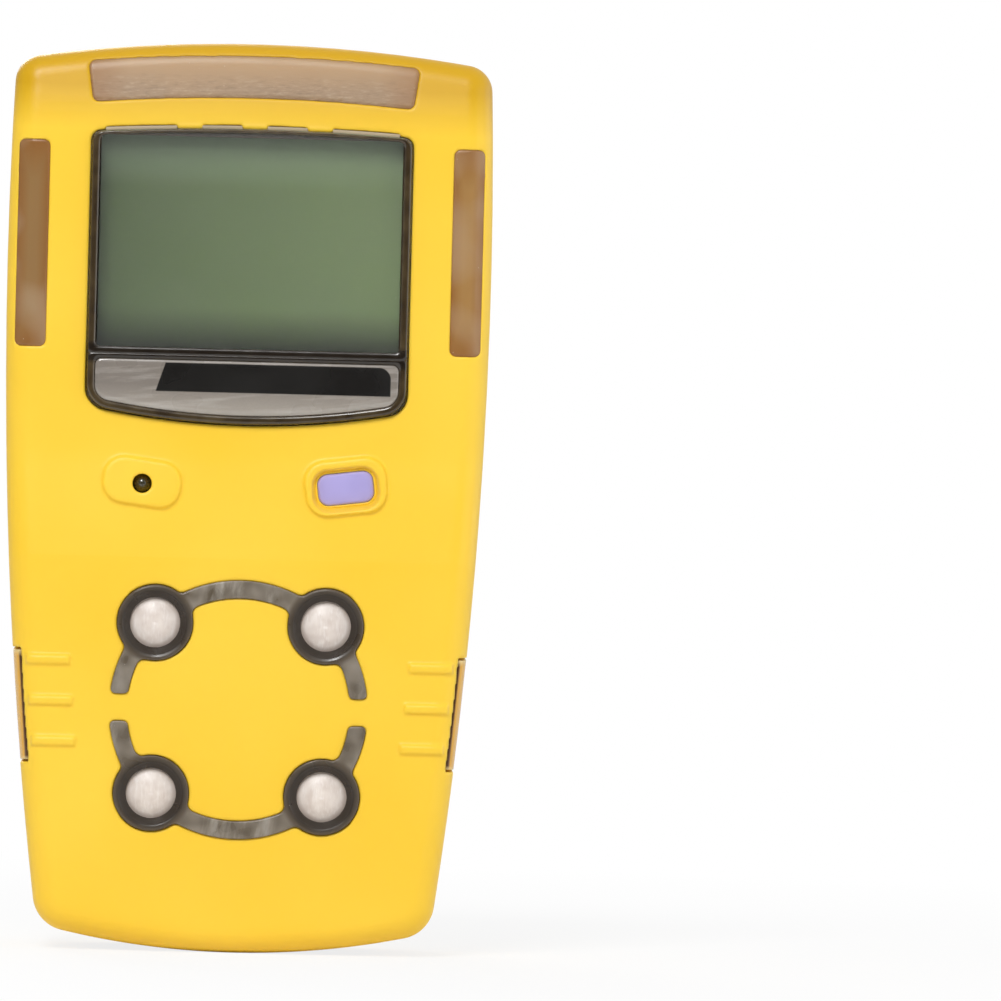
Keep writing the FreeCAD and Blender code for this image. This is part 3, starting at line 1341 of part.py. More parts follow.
jaw_face = "(BackFace+HingeStand+JawReach)"
jaw_back = f"({jaw_face}+JawThick)"
lip_foot, lip_top = "(GripLevel-JawThick/2)", "(GripLevel+JawThick/2)"
lip_tip = f"({plate_face}+JawGap)"
jaw_section = [
    (lip_tip, lip_foot),
    (f"{jaw_back}-JawBend", lip_foot, "JawBend"),
    (jaw_back, f"{lip_foot}+JawBend"),
    (jaw_back, "ThumbFoot"),
    (f"{jaw_back}+ThumbLean", "ThumbBend"),
    (f"{jaw_back}+ThumbLean", "ThumbTop"),
    (f"{jaw_face}+ThumbLean", "ThumbTop"),
    (f"{jaw_face}+ThumbLean", "ThumbBend"),
    (jaw_face, "ThumbFoot"),
    (jaw_face, f"{lip_foot}+JawBend", "-(JawBend-JawThick)"),
    (f"{jaw_back}-JawBend", lip_top),
    (lip_tip, lip_top),
]
jaw_sheet = extruded("jaw_sheet", [jaw_section], "-JawWidth/2", "JawWidth/2")
jaw_soft = rounded(
    "jaw_soft", jaw_sheet, "ThumbCorner",
    lambda edge, shape: runs_along(edge, Vector(0, 1, 0)) and edge.Vertexes[0].Z > size("ThumbTop") - 0.01,
)
jaw_ears = ears("jaw_ear", "(JawWidth/2)", "(JawWidth/2-EarThick)", "JawEarRadius", jaw_face)
tooth_gaps = [
    rod("tooth_gap", "Z", (f"({i})*ToothPitch", lip_tip), "ToothDepth*0.75", "0", "HingeLevel-10")
    for i in range(-3, 4)
]
cord_hole = rod("cord_hole", "Y", ("0", "CordHoleLevel"), "CordHole", jaw_face, "CaseWidth")
jaw_eye = rod("jaw_eye", "X", pin_line, "HingePin+HingeGap", "-CaseWidth", "CaseWidth")
publish("clip_jaw", cut("jaw", fuse("jaw_full", jaw_soft, *jaw_ears), *tooth_gaps, cord_hole, jaw_eye))

# ---- the clip's spring -----------------------------------------------------------------

TURNS = 5.5
wire, coil_radius = size("WireRadius"), size("CoilRadius")
coil_length = TURNS * size("CoilPitch")
lead = size("CoilPitch") / (2 * math.pi * coil_radius)
leg_reach = size("ClipScrewHigh-ClipHeadRadius-HingeLevel") - 2 * wire
first_end, first_way = Vector(coil_radius, 0, 0), Vector(0, -1, -lead)
last_end, last_way = Vector(-coil_radius, 0, coil_length), Vector(0, -1, lead)
helix = Part.makeHelix(size("CoilPitch"), coil_length, coil_radius)
section = Part.makeCircle(wire, first_end, first_way)
coil = Part.Wire(helix).makePipeShell([Part.Wire(section)], True, True)
jaw_leg = Part.makeCylinder(wire, leg_reach / 2, first_end, first_way)
base_leg = Part.makeCylinder(wire, leg_reach, last_end, last_way)
spring = fresh("Part::Feature", "spring")
spring.Shape = coil.fuse([jaw_leg, base_leg])
spring.Placement = Placement(
    Vector(coil_length / 2, size(pin_depth), size("HingeLevel")),
    Rotation(Vector(0, 1, 0), Vector(0, 0, -1), Vector(-1, 0, 0), "ZXY"),
)
publish("clip_spring", spring)

# ---- checks and files ------------------------------------------------------------------

doc.recompute()
faulty = [thing.Label for thing in doc.Objects if {"Invalid", "Error"} & set(thing.State)]
faulty += [node.Label for node in nodes if node.Shape.isNull() or not node.Shape.isValid()]
if faulty:
    raise SystemExit("not built: " + ", ".join(faulty))
os.makedirs("parts", exist_ok=True)
for node in nodes:
    node.Shape.exportStep(f"parts/{node.Label}.step")
print(len(nodes), "nodes written")
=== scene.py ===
import math

import bmesh
import bpy
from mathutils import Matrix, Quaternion, Vector


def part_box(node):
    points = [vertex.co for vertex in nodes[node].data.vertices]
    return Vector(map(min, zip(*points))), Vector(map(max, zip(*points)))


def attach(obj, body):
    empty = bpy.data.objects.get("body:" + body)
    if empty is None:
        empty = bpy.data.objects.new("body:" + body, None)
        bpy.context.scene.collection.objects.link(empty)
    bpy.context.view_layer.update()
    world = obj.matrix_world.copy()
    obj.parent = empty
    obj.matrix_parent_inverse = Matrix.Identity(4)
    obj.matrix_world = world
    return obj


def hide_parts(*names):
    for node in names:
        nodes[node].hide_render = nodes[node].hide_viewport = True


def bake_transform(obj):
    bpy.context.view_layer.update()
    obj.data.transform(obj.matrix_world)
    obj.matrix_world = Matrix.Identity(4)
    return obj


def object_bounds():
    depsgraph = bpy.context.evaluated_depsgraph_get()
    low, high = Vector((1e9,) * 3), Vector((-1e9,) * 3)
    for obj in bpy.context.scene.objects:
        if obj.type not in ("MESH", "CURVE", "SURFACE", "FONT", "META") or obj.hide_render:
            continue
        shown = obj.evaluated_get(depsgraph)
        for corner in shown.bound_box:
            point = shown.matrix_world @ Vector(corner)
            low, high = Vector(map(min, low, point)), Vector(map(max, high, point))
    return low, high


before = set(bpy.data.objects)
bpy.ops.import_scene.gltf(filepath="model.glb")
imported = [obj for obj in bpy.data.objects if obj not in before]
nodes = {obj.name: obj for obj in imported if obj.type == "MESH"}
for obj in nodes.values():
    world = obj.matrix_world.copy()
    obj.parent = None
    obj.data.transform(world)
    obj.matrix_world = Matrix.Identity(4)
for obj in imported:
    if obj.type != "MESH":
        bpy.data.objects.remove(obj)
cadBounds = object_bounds()
scene = bpy.context.scene
mm = 0.001


def paint(red, green, blue):
    # a paint-chart colour, 0 to 255, as the linear value that the shader wants
    def straight(c):
        c = c / 255
        return c / 12.92 if c <= 0.04045 else ((c + 0.055) / 1.055) ** 2.4
    return (straight(red), straight(green), straight(blue), 1.0)


cameraSet = {
    "distance": 2.2,         # from the front of the case, a long lens
    "frameWidth": 0.1242,    # what fits across the view at the case
    "pitch": 0.9,            # looks down by this many degrees
    "roll": 1.46,            # the case leans to the right by this much
    "asideX": -0.03187,      # where the middle of the case sits, from the middle of the view
    "asideY": 0.00018,
    "sensorWidth": 36.0, "near": 0.05, "far": 30.0,
}


def placeCamera(values):
    low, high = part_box("front_cover")
    target = Vector((0, low.y, (low.z + high.z) / 2))
    pitch = math.radians(values["pitch"])
    back = Vector((0, -math.cos(pitch), math.sin(pitch)))
    data = bpy.data.cameras.new("studioCamera")
    data.sensor_width = values["sensorWidth"]
    data.lens = values["sensorWidth"] * values["distance"] / values["frameWidth"]
    data.clip_start, data.clip_end = values["near"], values["far"]
    camera = bpy.data.objects.new("studioCamera", data)
    scene.collection.objects.link(camera)
    camera.location = target + back * values["distance"]
    aim = (-back).to_track_quat("-Z", "Y")
    aim = aim @ Quaternion((0, 0, 1), math.radians(values["roll"]))
    aim = aim @ Quaternion((0, 1, 0), math.atan(values["asideX"] / values["distance"]))
    aim = aim @ Quaternion((1, 0, 0), -math.atan(values["asideY"] / values["distance"]))
    camera.rotation_mode = "QUATERNION"
    camera.rotation_quaternion = aim
    scene.camera = camera


placeCamera(cameraSet)
print("camera placed")


def put(tree, kind, sockets=None, **settings):
    made = tree.nodes.new("ShaderNode" + kind)
    for key, value in settings.items():
        setattr(made, key, value)
    for key, value in (sockets or {}).items():
        if isinstance(value, bpy.types.NodeSocket):
            tree.links.new(value, made.inputs[key])
        else:
            made.inputs[key].default_value = value
    return made


def blendColour(tree, factor, first, second):
    made = put(tree, "Mix", {0: factor, 6: first, 7: second}, data_type="RGBA")
    return made.outputs[2]


def sums(tree, operation, *values, clamp=False):
    made = put(tree, "Math", dict(enumerate(values)), operation=operation, use_clamp=clamp)
    return made.outputs[0]


def remap(tree, value, low, high, start=0.0, end=1.0):
    sockets = {"Value": value, "From Min": low, "From Max": high, "To Min": start, "To Max": end}
    return put(tree, "MapRange", sockets, clamp=True).outputs["Result"]


def ramp(tree, value, values, key):
    # rises from the piece's own From to its To, up to its Share
    share = values.get(key + "Share", 1.0)
    return remap(tree, value, values[key + "From"], values[key + "To"], 0.0, share)


def hypotenuse(tree, a, b):
    squares = sums(tree, "ADD", sums(tree, "MULTIPLY", a, a), sums(tree, "MULTIPLY", b, b))
    return sums(tree, "SQRT", squares)


def newGroup(name, inputs, outputs):
    tree = bpy.data.node_groups.new(name, "ShaderNodeTree")
    for label, value in inputs.items():
        socket = tree.interface.new_socket(label, in_out="INPUT", socket_type="NodeSocketFloat")
        socket.default_value = value
    for label, kind in outputs.items():
        tree.interface.new_socket(label, in_out="OUTPUT", socket_type="NodeSocket" + kind)
    return tree, tree.nodes.new("NodeGroupInput").outputs, tree.nodes.new("NodeGroupOutput")


def millimetres(tree):
    # object coordinates in millimetres: every piece lies in the frame that the case is drawn in
    where = put(tree, "TexCoord").outputs["Object"]
    return put(tree, "VectorMath", {0: where, "Scale": 1 / mm}, operation="SCALE").outputs[0]


def axes(tree):
    return put(tree, "SeparateXYZ", {0: millimetres(tree)}).outputs[:3]


effectSet = {
    "grainDetail": 2.0, "grainRoughness": 0.6,
    "driftDetail": 1.5, "driftRoughness": 0.45, "driftLow": 0.3, "driftHigh": 0.7,
    "flatMatch": 0.995, "sharpMatch": 0.80,      # how well the normals agree on a face and on an edge
    "patchDetail": 4.0, "patchLow": 0.42, "patchHigh": 0.62, "edgeSamples": 6,
    "streakDetail": 5.0, "streakRoughness": 0.62,
}


def makeGrain(values):
    # fine moulded grain, and a slow drift of colour and gloss over the surface
    tree, given, result = newGroup(
        "mouldedGrain", {"Grain Size": 0.25, "Drift Size": 14.0, "Seed": 0.0},
        {"Grain": "Float", "Drift": "Float"})
    where = millimetres(tree)
    shifted = put(tree, "VectorMath", {0: where, 1: given["Seed"]}, operation="ADD").outputs[0]
    fine = put(tree, "TexNoise", {
        "Vector": shifted, "Scale": sums(tree, "DIVIDE", 1.0, given["Grain Size"]),
        "Detail": values["grainDetail"], "Roughness": values["grainRoughness"]})
    slow = put(tree, "TexNoise", {
        "Vector": shifted, "Scale": sums(tree, "DIVIDE", 1.0, given["Drift Size"]),
        "Detail": values["driftDetail"], "Roughness": values["driftRoughness"]})
    drift = remap(tree, slow.outputs[0], values["driftLow"], values["driftHigh"])
    tree.links.new(fine.outputs[0], result.inputs["Grain"])
    tree.links.new(drift, result.inputs["Drift"])
    return tree


def makeEdgeWear(values):
    # edges rub first: where a rounded normal differs from the true one, broken up by noise
    tree, given, result = newGroup(
        "edgeWear", {"Width": 0.0003, "Patch Size": 2.0, "Amount": 1.0},
        {"Wear": "Float", "Normal": "Vector"})
    rounded = put(tree, "Bevel", {"Radius": given["Width"]}, samples=values["edgeSamples"])
    true = put(tree, "NewGeometry")
    match = put(tree, "VectorMath", {0: rounded.outputs[0], 1: true.outputs["True Normal"]},
                operation="DOT_PRODUCT")
    edge = remap(tree, match.outputs["Value"], values["flatMatch"], values["sharpMatch"])
    patch = put(tree, "TexNoise", {
        "Vector": millimetres(tree), "Scale": sums(tree, "DIVIDE", 1.0, given["Patch Size"]),
        "Detail": values["patchDetail"]})
    patch = remap(tree, patch.outputs[0], values["patchLow"], values["patchHigh"])
    broken = sums(tree, "MULTIPLY", edge, patch)
    wear = sums(tree, "MULTIPLY", broken, given["Amount"], clamp=True)
    tree.links.new(wear, result.inputs["Wear"])
    tree.links.new(rounded.outputs[0], result.inputs["Normal"])
    return tree


def makeSpecks():
    # scattered dust and moulding specks, each a small round spot
    tree, given, result = newGroup(
        "strayedSpecks", {"Spacing": 3.0, "Radius": 0.08, "Share": 0.5}, {"Specks": "Float"})
    cell = put(tree, "TexVoronoi", {
        "Vector": millimetres(tree), "Scale": sums(tree, "DIVIDE", 1.0, given["Spacing"])})
    reach = sums(tree, "MULTIPLY", cell.outputs["Distance"], given["Spacing"])
    spot = sums(tree, "LESS_THAN", reach, given["Radius"])
    tone = put(tree, "SeparateColor", {0: cell.outputs["Color"]})
    chosen = sums(tree, "LESS_THAN", tone.outputs[0], given["Share"])
    tree.links.new(sums(tree, "MULTIPLY", spot, chosen), result.inputs["Specks"])
    return tree


def makeStreaks(values):
    # long fine lines along X, as left by brushing, drawing or a prism mould
    tree, given, result = newGroup(
        "drawnStreaks", {"Length": 12.0, "Fineness": 0.12, "Turn": 0.0}, {"Streaks": "Float"})
    turned = put(tree, "VectorRotate", {"Vector": millimetres(tree), "Angle": given["Turn"]},
                 rotation_type="Y_AXIS")
    parts = put(tree, "SeparateXYZ", {0: turned.outputs[0]})
    squeezed = put(tree, "CombineXYZ", {
        0: sums(tree, "DIVIDE", parts.outputs[0], given["Length"]),
        1: sums(tree, "DIVIDE", parts.outputs[1], given["Fineness"]),
        2: sums(tree, "DIVIDE", parts.outputs[2], given["Fineness"])})
    lines = put(tree, "TexNoise", {
        "Vector": squeezed.outputs[0], "Scale": 1.0,
        "Detail": values["streakDetail"], "Roughness": values["streakRoughness"]})
    tree.links.new(lines.outputs[0], result.inputs["Streaks"])
    return tree


effects = {
    "grain": makeGrain(effectSet), "wear": makeEdgeWear(effectSet),
    "specks": makeSpecks(), "streaks": makeStreaks(effectSet),
}
print("shared effects built")


def effect(tree, name, **values):
    made = tree.nodes.new("ShaderNodeGroup")
    made.node_tree = effects[name]
    for key, value in values.items():
        made.inputs[key.replace("_", " ")].default_value = value
    return made.outputs


def ownGrain(tree, values):
    return effect(tree, "grain", Grain_Size=values["grainSize"], Drift_Size=values["driftSize"],
                  Seed=values["seed"])


def ownWear(tree, values):
    return effect(tree, "wear", Width=values["edge"] * mm, Patch_Size=values["patch"],
                  Amount=values["wear"])


def ownSpecks(tree, values):
    made = effect(tree, "specks", Spacing=values["speckSpacing"], Radius=values["speckRadius"],
                  Share=values["speckShare"])
    return made["Specks"]


def ownLines(tree, length, fineness, turn):
    return effect(tree, "streaks", Length=length, Fineness=fineness, Turn=turn)["Streaks"]


def newMaterial(name):
    material = bpy.data.materials.new(name)
    material.use_nodes = True
    tree = material.node_tree
    shader = tree.nodes["Principled BSDF"]
    return material, tree, shader


def bumped(tree, height, depth, base=None, strength=1.0):
    # depth is the real height of the relief, in millimetres
    sockets = {"Height": height, "Distance": depth * mm, "Strength": strength}
    if base is not None:
        sockets["Normal"] = base
    return put(tree, "Bump", sockets).outputs[0]


def bowedOutline(half, low, high, lowBow=0.0, highBow=0.0, lowCorner=1.0, highCorner=1.0,
                 across=24, turns=7):
    # points round an upright panel whose top and foot may bow; a bow is one over twice its radius
    points = []
    for side, level, corner in ((1, high, highCorner), (-1, high, highCorner),
                                (-1, low, lowCorner), (1, low, lowCorner)):
        bow = -highBow if level == high else lowBow
        inward = -1 if level == high else 1
        ring = []
        for i in range(turns + 1):
            angle = math.radians(90 * i / turns)
            x = side * (half - corner + corner * math.cos(angle))
            z = level + inward * (corner - corner * math.sin(angle)) + bow * x * x
            ring.append((x, z))
        points += ring if side * inward < 0 else ring[::-1]
        if side * inward < 0:
            start = ring[-1][0]
            for i in range(1, across):
                x = start * (1 - 2 * i / across)
                points.append((x, level + bow * x * x))
    return points


def between(first, second, share):
    # an outline part of the way from one outline to another
    return [(a[0] + (b[0] - a[0]) * share, a[1] + (b[1] - a[1]) * share)
            for a, b in zip(first, second)]


def lofted(name, loops, material, ring=False):
    # a skin over loops of equal length; each loop is (outline of x and z, y), in millimetres
    mesh = bmesh.new()
    rows = [[mesh.verts.new((x * mm, y * mm, z * mm)) for x, z in outline] for outline, y in loops]
    pairs = list(zip(rows, rows[1:] + rows[:1])) if ring else list(zip(rows, rows[1:]))
    for first, second in pairs:
        for i in range(len(first)):
            j = (i + 1) % len(first)
            mesh.faces.new((first[i], first[j], second[j], second[i]))
    if not ring:
        mesh.faces.new(rows[0][::-1])
        mesh.faces.new(rows[-1])
    bmesh.ops.recalc_face_normals(mesh, faces=mesh.faces)
    data = bpy.data.meshes.new(name)
    mesh.to_mesh(data)
    mesh.free()
    for face in data.polygons:
        face.use_smooth = True
    made = bpy.data.objects.new(name, data)
    scene.collection.objects.link(made)
    data.materials.append(material)
    return made


softUsual = {"weldReach": 0.002, "relaxShare": 0.5}


def softened(name, voxel, rounds, keep, swell):
    # soft moulded edges on a carried-over piece: its faces are welded, remeshed and relaxed
    piece = nodes[name]
    piece.modifiers.new("weld", "WELD").merge_threshold = softUsual["weldReach"] * mm
    skin = piece.modifiers.new("skin", "REMESH")
    skin.mode = "VOXEL"
    skin.voxel_size = voxel * mm
    skin.use_smooth_shade = True
    relax = piece.modifiers.new("relax", "SMOOTH")
    relax.factor = softUsual["relaxShare"]
    relax.iterations = rounds
    if swell:
        grown = piece.modifiers.new("swell", "DISPLACE")
        grown.strength = swell * mm
        grown.mid_level = 0.0
    if keep < 1:
        piece.modifiers.new("thin", "DECIMATE").ratio = keep


softSet = {
    # piece: voxel in millimetres, rounds of relaxing, share of faces kept, how far it swells
    "front_cover": (0.15, 8, 0.2, 0.0),
    "sensor_gasket_upper": (0.12, 5, 0.7, 0.0),
    "sensor_gasket_lower": (0.12, 5, 0.7, 0.0),
    "alarm_lens_top": (0.12, 6, 0.5, 0.2),
    "alarm_lens_left": (0.12, 5, 0.6, 0.2),
    "alarm_lens_right": (0.12, 5, 0.6, 0.2),
}
for name, (voxel, rounds, keep, swell) in softSet.items():
    softened(name, voxel, rounds, keep, swell)

catchSet = {"reach": 0.16, "inner": 23.8, "low": -42.5, "high": -26.8}


def growCatches(values):
    # the two catches fill their openings out to the case's own outline
    piece = nodes["front_frame"]
    for side, word in ((1, "right"), (-1, "left")):
        group = piece.vertex_groups.new(name="catch_" + word)
        picked = [v.index for v in piece.data.vertices
                  if v.co.x * side > values["inner"] * mm
                  and values["low"] * mm < v.co.z < values["high"] * mm]
        group.add(picked, 1.0, "REPLACE")
        push = piece.modifiers.new("grow_" + word, "DISPLACE")
        push.direction = "X"
        push.vertex_group = group.name
        push.strength = side * values["reach"] * mm
        push.mid_level = 0.0


growCatches(catchSet)
print("edges softened")


usualMoulded = {
    "grainSize": 0.25, "driftSize": 14.0, "seed": 0.0, "depth": 0.006,
    "edge": 0.25, "patch": 2.0, "wear": 0.5, "rubbedGloss": -0.12,
    "speckSpacing": 4.0, "speckRadius": 0.05, "speckShare": 0.4, "speckColour": (0.03, 0.025, 0.02, 1),
    "roughness": 0.5, "spread": 0.08, "metallic": 0.0, "specular": 0.5,
    "coat": 0.0, "coatRoughness": 0.1, "subsurface": 0.0, "subsurfaceRadius": (0.0012, 0.0008, 0.0004),
}


def mouldedFinish(name, given):
    # plastics, rubbers and foams: drifting colour, grain, worn edges and a few specks
    values = dict(usualMoulded, wornColour=given["colour"])
    values.update(given)
    material, tree, shader = newMaterial(name)
    grain = ownGrain(tree, values)
    wear = ownWear(tree, values)
    specks = ownSpecks(tree, values)
    colour = blendColour(tree, grain["Drift"], values["colour"], values["second"])
    if "extra" in values:
        colour = values["extra"](tree, colour)
    colour = blendColour(tree, wear["Wear"], colour, values["wornColour"])
    colour = blendColour(tree, specks, colour, values["speckColour"])
    tree.links.new(colour, shader.inputs["Base Color"])
    rough, spread = values["roughness"], values["spread"]
    gloss = remap(tree, grain["Drift"], 0.0, 1.0, rough - spread, rough + spread)
    rubbed = sums(tree, "MULTIPLY", wear["Wear"], values["rubbedGloss"])
    tree.links.new(sums(tree, "ADD", gloss, rubbed, clamp=True), shader.inputs["Roughness"])
    shader.inputs["Metallic"].default_value = values["metallic"]
    shader.inputs["Specular IOR Level"].default_value = values["specular"]
    shader.inputs["Coat Weight"].default_value = values["coat"]
    shader.inputs["Coat Roughness"].default_value = values["coatRoughness"]
    if values["subsurface"]:
        shader.inputs["Subsurface Weight"].default_value = values["subsurface"]
        shader.inputs["Subsurface Radius"].default_value = values["subsurfaceRadius"]
        shader.inputs["Subsurface Scale"].default_value = 1.0
    tree.links.new(bumped(tree, grain["Grain"], values["depth"], wear["Normal"]),
                   shader.inputs["Normal"])
    return material


usualMetal = {
    "grainSize": 0.2, "driftSize": 6.0, "seed": 5.0, "edge": 0.15, "patch": 1.2, "wear": 0.8,
    "length": 9.0, "fineness": 0.09, "turn": 0.0, "depth": 0.004,
    "smudge": paint(120, 118, 114), "smudgeShare": 0.35, "smudgeGloss": 0.06,
    "worn": paint(228, 226, 222), "lineLow": 0.3, "lineHigh": 0.7, "smoother": 0.07, "rougher": 0.09,
}


def metalFinish(name, given):
    # sheet, turned and plated metal: drawn lines, smudges and bright rubbed edges
    values = {**usualMetal, **given}
    material, tree, shader = newMaterial(name)
    grain = ownGrain(tree, values)
    wear = ownWear(tree, values)
    lines = ownLines(tree, values["length"], values["fineness"], values["turn"])
    base = blendColour(tree, lines, values["colour"], values["second"])
    smudges = sums(tree, "MULTIPLY", grain["Drift"], values["smudgeShare"])
    base = blendColour(tree, smudges, base, values["smudge"])
    base = blendColour(tree, wear["Wear"], base, values["worn"])
    tree.links.new(base, shader.inputs["Base Color"])
    rough = values["roughness"]
    gloss = remap(tree, lines, values["lineLow"], values["lineHigh"],
                  rough - values["smoother"], rough + values["rougher"])
    dulled = sums(tree, "MULTIPLY", grain["Drift"], values["smudgeGloss"])
    tree.links.new(sums(tree, "ADD", gloss, dulled, clamp=True), shader.inputs["Roughness"])
    shader.inputs["Metallic"].default_value = 1.0
    tree.links.new(bumped(tree, lines, values["depth"], wear["Normal"]),
                   shader.inputs["Normal"])
    return material


def finishNode(name, material):
    node = nodes[name]
    node.data.materials.clear()
    node.data.materials.append(material)


skinSet = {
    "colour": paint(252, 206, 52), "second": paint(254, 211, 62), "wornColour": paint(255, 222, 112),
    "roughness": 0.42, "spread": 0.05, "specular": 0.42, "subsurface": 0.08,
    "grainSize": 0.16, "depth": 0.0035, "driftSize": 22.0, "edge": 0.3, "patch": 3.0, "wear": 0.35,
    "speckSpacing": 13.0, "speckRadius": 0.09, "speckShare": 0.16, "speckColour": paint(120, 84, 20),
    # the top colour is painted shade on the band round the top light bar
    "topColour": paint(213, 165, 8), "topFrom": 37.0, "topTo": 42.5,
    "sideFrom": -19.0, "sideTo": -25.0,      # how far back the painted top shade reaches
}
shellSet = dict(skinSet, roughness=0.4, grainSize=0.3, depth=0.008, seed=31.0, wear=0.5,
                subsurface=0.0)


def paintedTopShade(tree, colour):
    # painted shade: the band round the top light bar is a deeper yellow, where the cover turns back
    # away from the light
    _, y, z = axes(tree)
    high = ramp(tree, z, skinSet, "top")
    front = ramp(tree, y, skinSet, "side")
    return blendColour(tree, sums(tree, "MULTIPLY", high, front), colour, skinSet["topColour"])


skinSet["extra"] = paintedTopShade
yellowSkin = mouldedFinish("yellowSkin", skinSet)
finishNode("front_cover", yellowSkin)
finishNode("back_shell", mouldedFinish("yellowShell", shellSet))

smokeSet = {
    "colour": paint(58, 45, 34), "second": paint(72, 58, 42), "wornColour": paint(150, 128, 92),
    "roughness": 0.22, "spread": 0.06, "grainSize": 0.5, "depth": 0.002, "wear": 0.35, "coat": 0.3,
    # the catch's dark colour is painted shadow of the cover's cut edge, and its pale colour is painted
    # highlight
    "amber": paint(228, 168, 40), "pale": paint(238, 212, 140), "catchDark": paint(88, 56, 22),
    "catchHigh": -27.3, "catchLow": -42.1,        # ends of the catches
    "endReach": 1.2,                              # how near an end its half width is read
    "amberWide": 0.4, "amberFade": 0.2, "darkFrom": 3.4, "darkTo": 2.6, "bandOut": 0.3, "bandIn": -0.2,
    "paleLowFrom": 1.1, "paleLowTo": 0.4, "paleHighFrom": -1.4, "paleHighTo": -0.6,
    "frontFrom": -27.2, "frontTo": -28.2, "frontShare": 0.25, "frontWide": 0.3, "frontFull": 0.15,
}


def amberSides(tree, colour):
    # at the catches the smoked plastic thins out to the case's outline and lets the light through; the
    # dark band next to the cover is painted shadow, and the pale ends and front edge are painted
    # highlight
    values = smokeSet
    high, low = values["catchHigh"], values["catchLow"]
    seen = [v.co / mm for v in nodes["front_frame"].data.vertices if low < v.co.z / mm < high]
    upper = max(abs(c.x) for c in seen if c.z > high - values["endReach"])
    lower = max(abs(c.x) for c in seen if c.z < low + values["endReach"])
    x, y, z = axes(tree)
    outline = remap(tree, z, low, high, lower, upper)
    deep = sums(tree, "SUBTRACT", outline, sums(tree, "ABSOLUTE", x))     # how far in from the outline
    band = sums(tree, "MULTIPLY", remap(tree, z, high + values["bandOut"], high + values["bandIn"]),
                ramp(tree, deep, values, "dark"))
    # painted shadow along the cover's cut edge
    colour = blendColour(tree, band, colour, values["catchDark"])
    thin = remap(tree, deep, values["amberWide"] + values["amberFade"], values["amberWide"])
    colour = blendColour(tree, sums(tree, "MULTIPLY", band, thin), colour, values["amber"])
    # painted highlight at both ends of the catch and along its front edge
    foot = remap(tree, z, low + values["paleLowFrom"], low + values["paleLowTo"])
    head = remap(tree, z, high + values["paleHighFrom"], high + values["paleHighTo"])
    edge = ramp(tree, y, values, "front")
    edge = sums(tree, "MULTIPLY", edge, remap(tree, deep, values["frontWide"], values["frontFull"]))
    lit = sums(tree, "MAXIMUM", sums(tree, "MAXIMUM", foot, head), edge)
    return blendColour(tree, sums(tree, "MULTIPLY", band, lit), colour, values["pale"])


smokeSet["extra"] = amberSides
finishNode("front_frame", mouldedFinish("smokedFrame", smokeSet))

windowSet = {
    "tint": (0.96, 0.965, 0.95, 1), "ior": 1.49, "roughness": 0.012, "dustRoughness": 0.3,
    "grainSize": 2.5, "driftSize": 9.0, "seed": 3.0, "depth": 0.0003, "bump": 0.3,
    "speckSpacing": 2.6, "speckRadius": 0.035, "speckShare": 0.3,
}


def clearFinish(name, values):
    # clear moulding that lets the lamps reach what lies behind it
    material, tree, shader = newMaterial(name)
    shader.inputs["Base Color"].default_value = values["tint"]
    shader.inputs["Transmission Weight"].default_value = 1.0
    shader.inputs["IOR"].default_value = values["ior"]
    grain = ownGrain(tree, values)
    specks = ownSpecks(tree, values)
    rough = values["roughness"]
    gloss = remap(tree, specks, 0.0, 1.0, rough, rough + values["dustRoughness"])
    tree.links.new(gloss, shader.inputs["Roughness"])
    tree.links.new(bumped(tree, grain["Grain"], values["depth"], strength=values["bump"]),
                   shader.inputs["Normal"])
    path = put(tree, "LightPath")
    through = put(tree, "BsdfTransparent", {"Color": values["tint"]})
    both = put(tree, "MixShader", {0: path.outputs["Is Shadow Ray"], 1: shader.outputs[0],
                                   2: through.outputs[0]})
    tree.links.new(both.outputs[0], tree.nodes["Material Output"].inputs["Surface"])
    return material


finishNode("display_window", clearFinish("windowClear", windowSet))


displaySet = {
    # left, right and cloud are painted reflection; foot is painted shadow and head is painted light
    "left": paint(60, 74, 44), "right": paint(92, 108, 70), "leftAt": -17.0, "rightAt": 18.5,
    "cloud": paint(82, 92, 72), "cloudShare": 0.3,
    "grainColour": (0.3, 0.33, 0.25, 1), "grainShare": 0.06,
    "foot": paint(7, 9, 5), "footFrom": 15.0, "footTo": 10.2, "footShare": 0.9,
    "head": paint(138, 154, 134), "headFrom": 30.0, "headTo": 36.5, "headShare": 0.5,
    "speckColour": paint(112, 124, 100), "speckSpacing": 3.4, "speckRadius": 0.03, "speckShare": 0.35,
    "grainSize": 0.06, "driftSize": 11.0, "seed": 8.0, "depth": 0.0003, "bump": 0.2,
    "roughness": 0.3, "spread": 0.08, "specular": 0.2,
}


def displayFinish(values):
    # unlit reflective display: greener and paler to one side and softly clouded, both painted
    # reflection; a painted shadow darkens its foot and painted light brightens its head
    material, tree, shader = newMaterial("displayGlass")
    grain = ownGrain(tree, values)
    specks = ownSpecks(tree, values)
    across, _, level = axes(tree)
    side = remap(tree, across, values["leftAt"], values["rightAt"])
    cloud = sums(tree, "MULTIPLY", grain["Drift"], values["cloudShare"])
    fine = sums(tree, "MULTIPLY", grain["Grain"], values["grainShare"])
    # painted shadow at the foot and painted light at the head
    foot = ramp(tree, level, values, "foot")
    head = ramp(tree, level, values, "head")
    colour = blendColour(tree, side, values["left"], values["right"])
    for share, key in ((cloud, "cloud"), (fine, "grainColour"), (foot, "foot"), (head, "head"),
                       (specks, "speckColour")):
        colour = blendColour(tree, share, colour, values[key])
    tree.links.new(colour, shader.inputs["Base Color"])
    shader.inputs["Specular IOR Level"].default_value = values["specular"]
    rough = values["roughness"]
    tree.links.new(remap(tree, grain["Drift"], 0.0, 1.0, rough, rough + values["spread"]),
                   shader.inputs["Roughness"])
    tree.links.new(bumped(tree, grain["Grain"], values["depth"], strength=values["bump"]),
                   shader.inputs["Normal"])
    return material


finishNode("display_glass", displayFinish(displaySet))

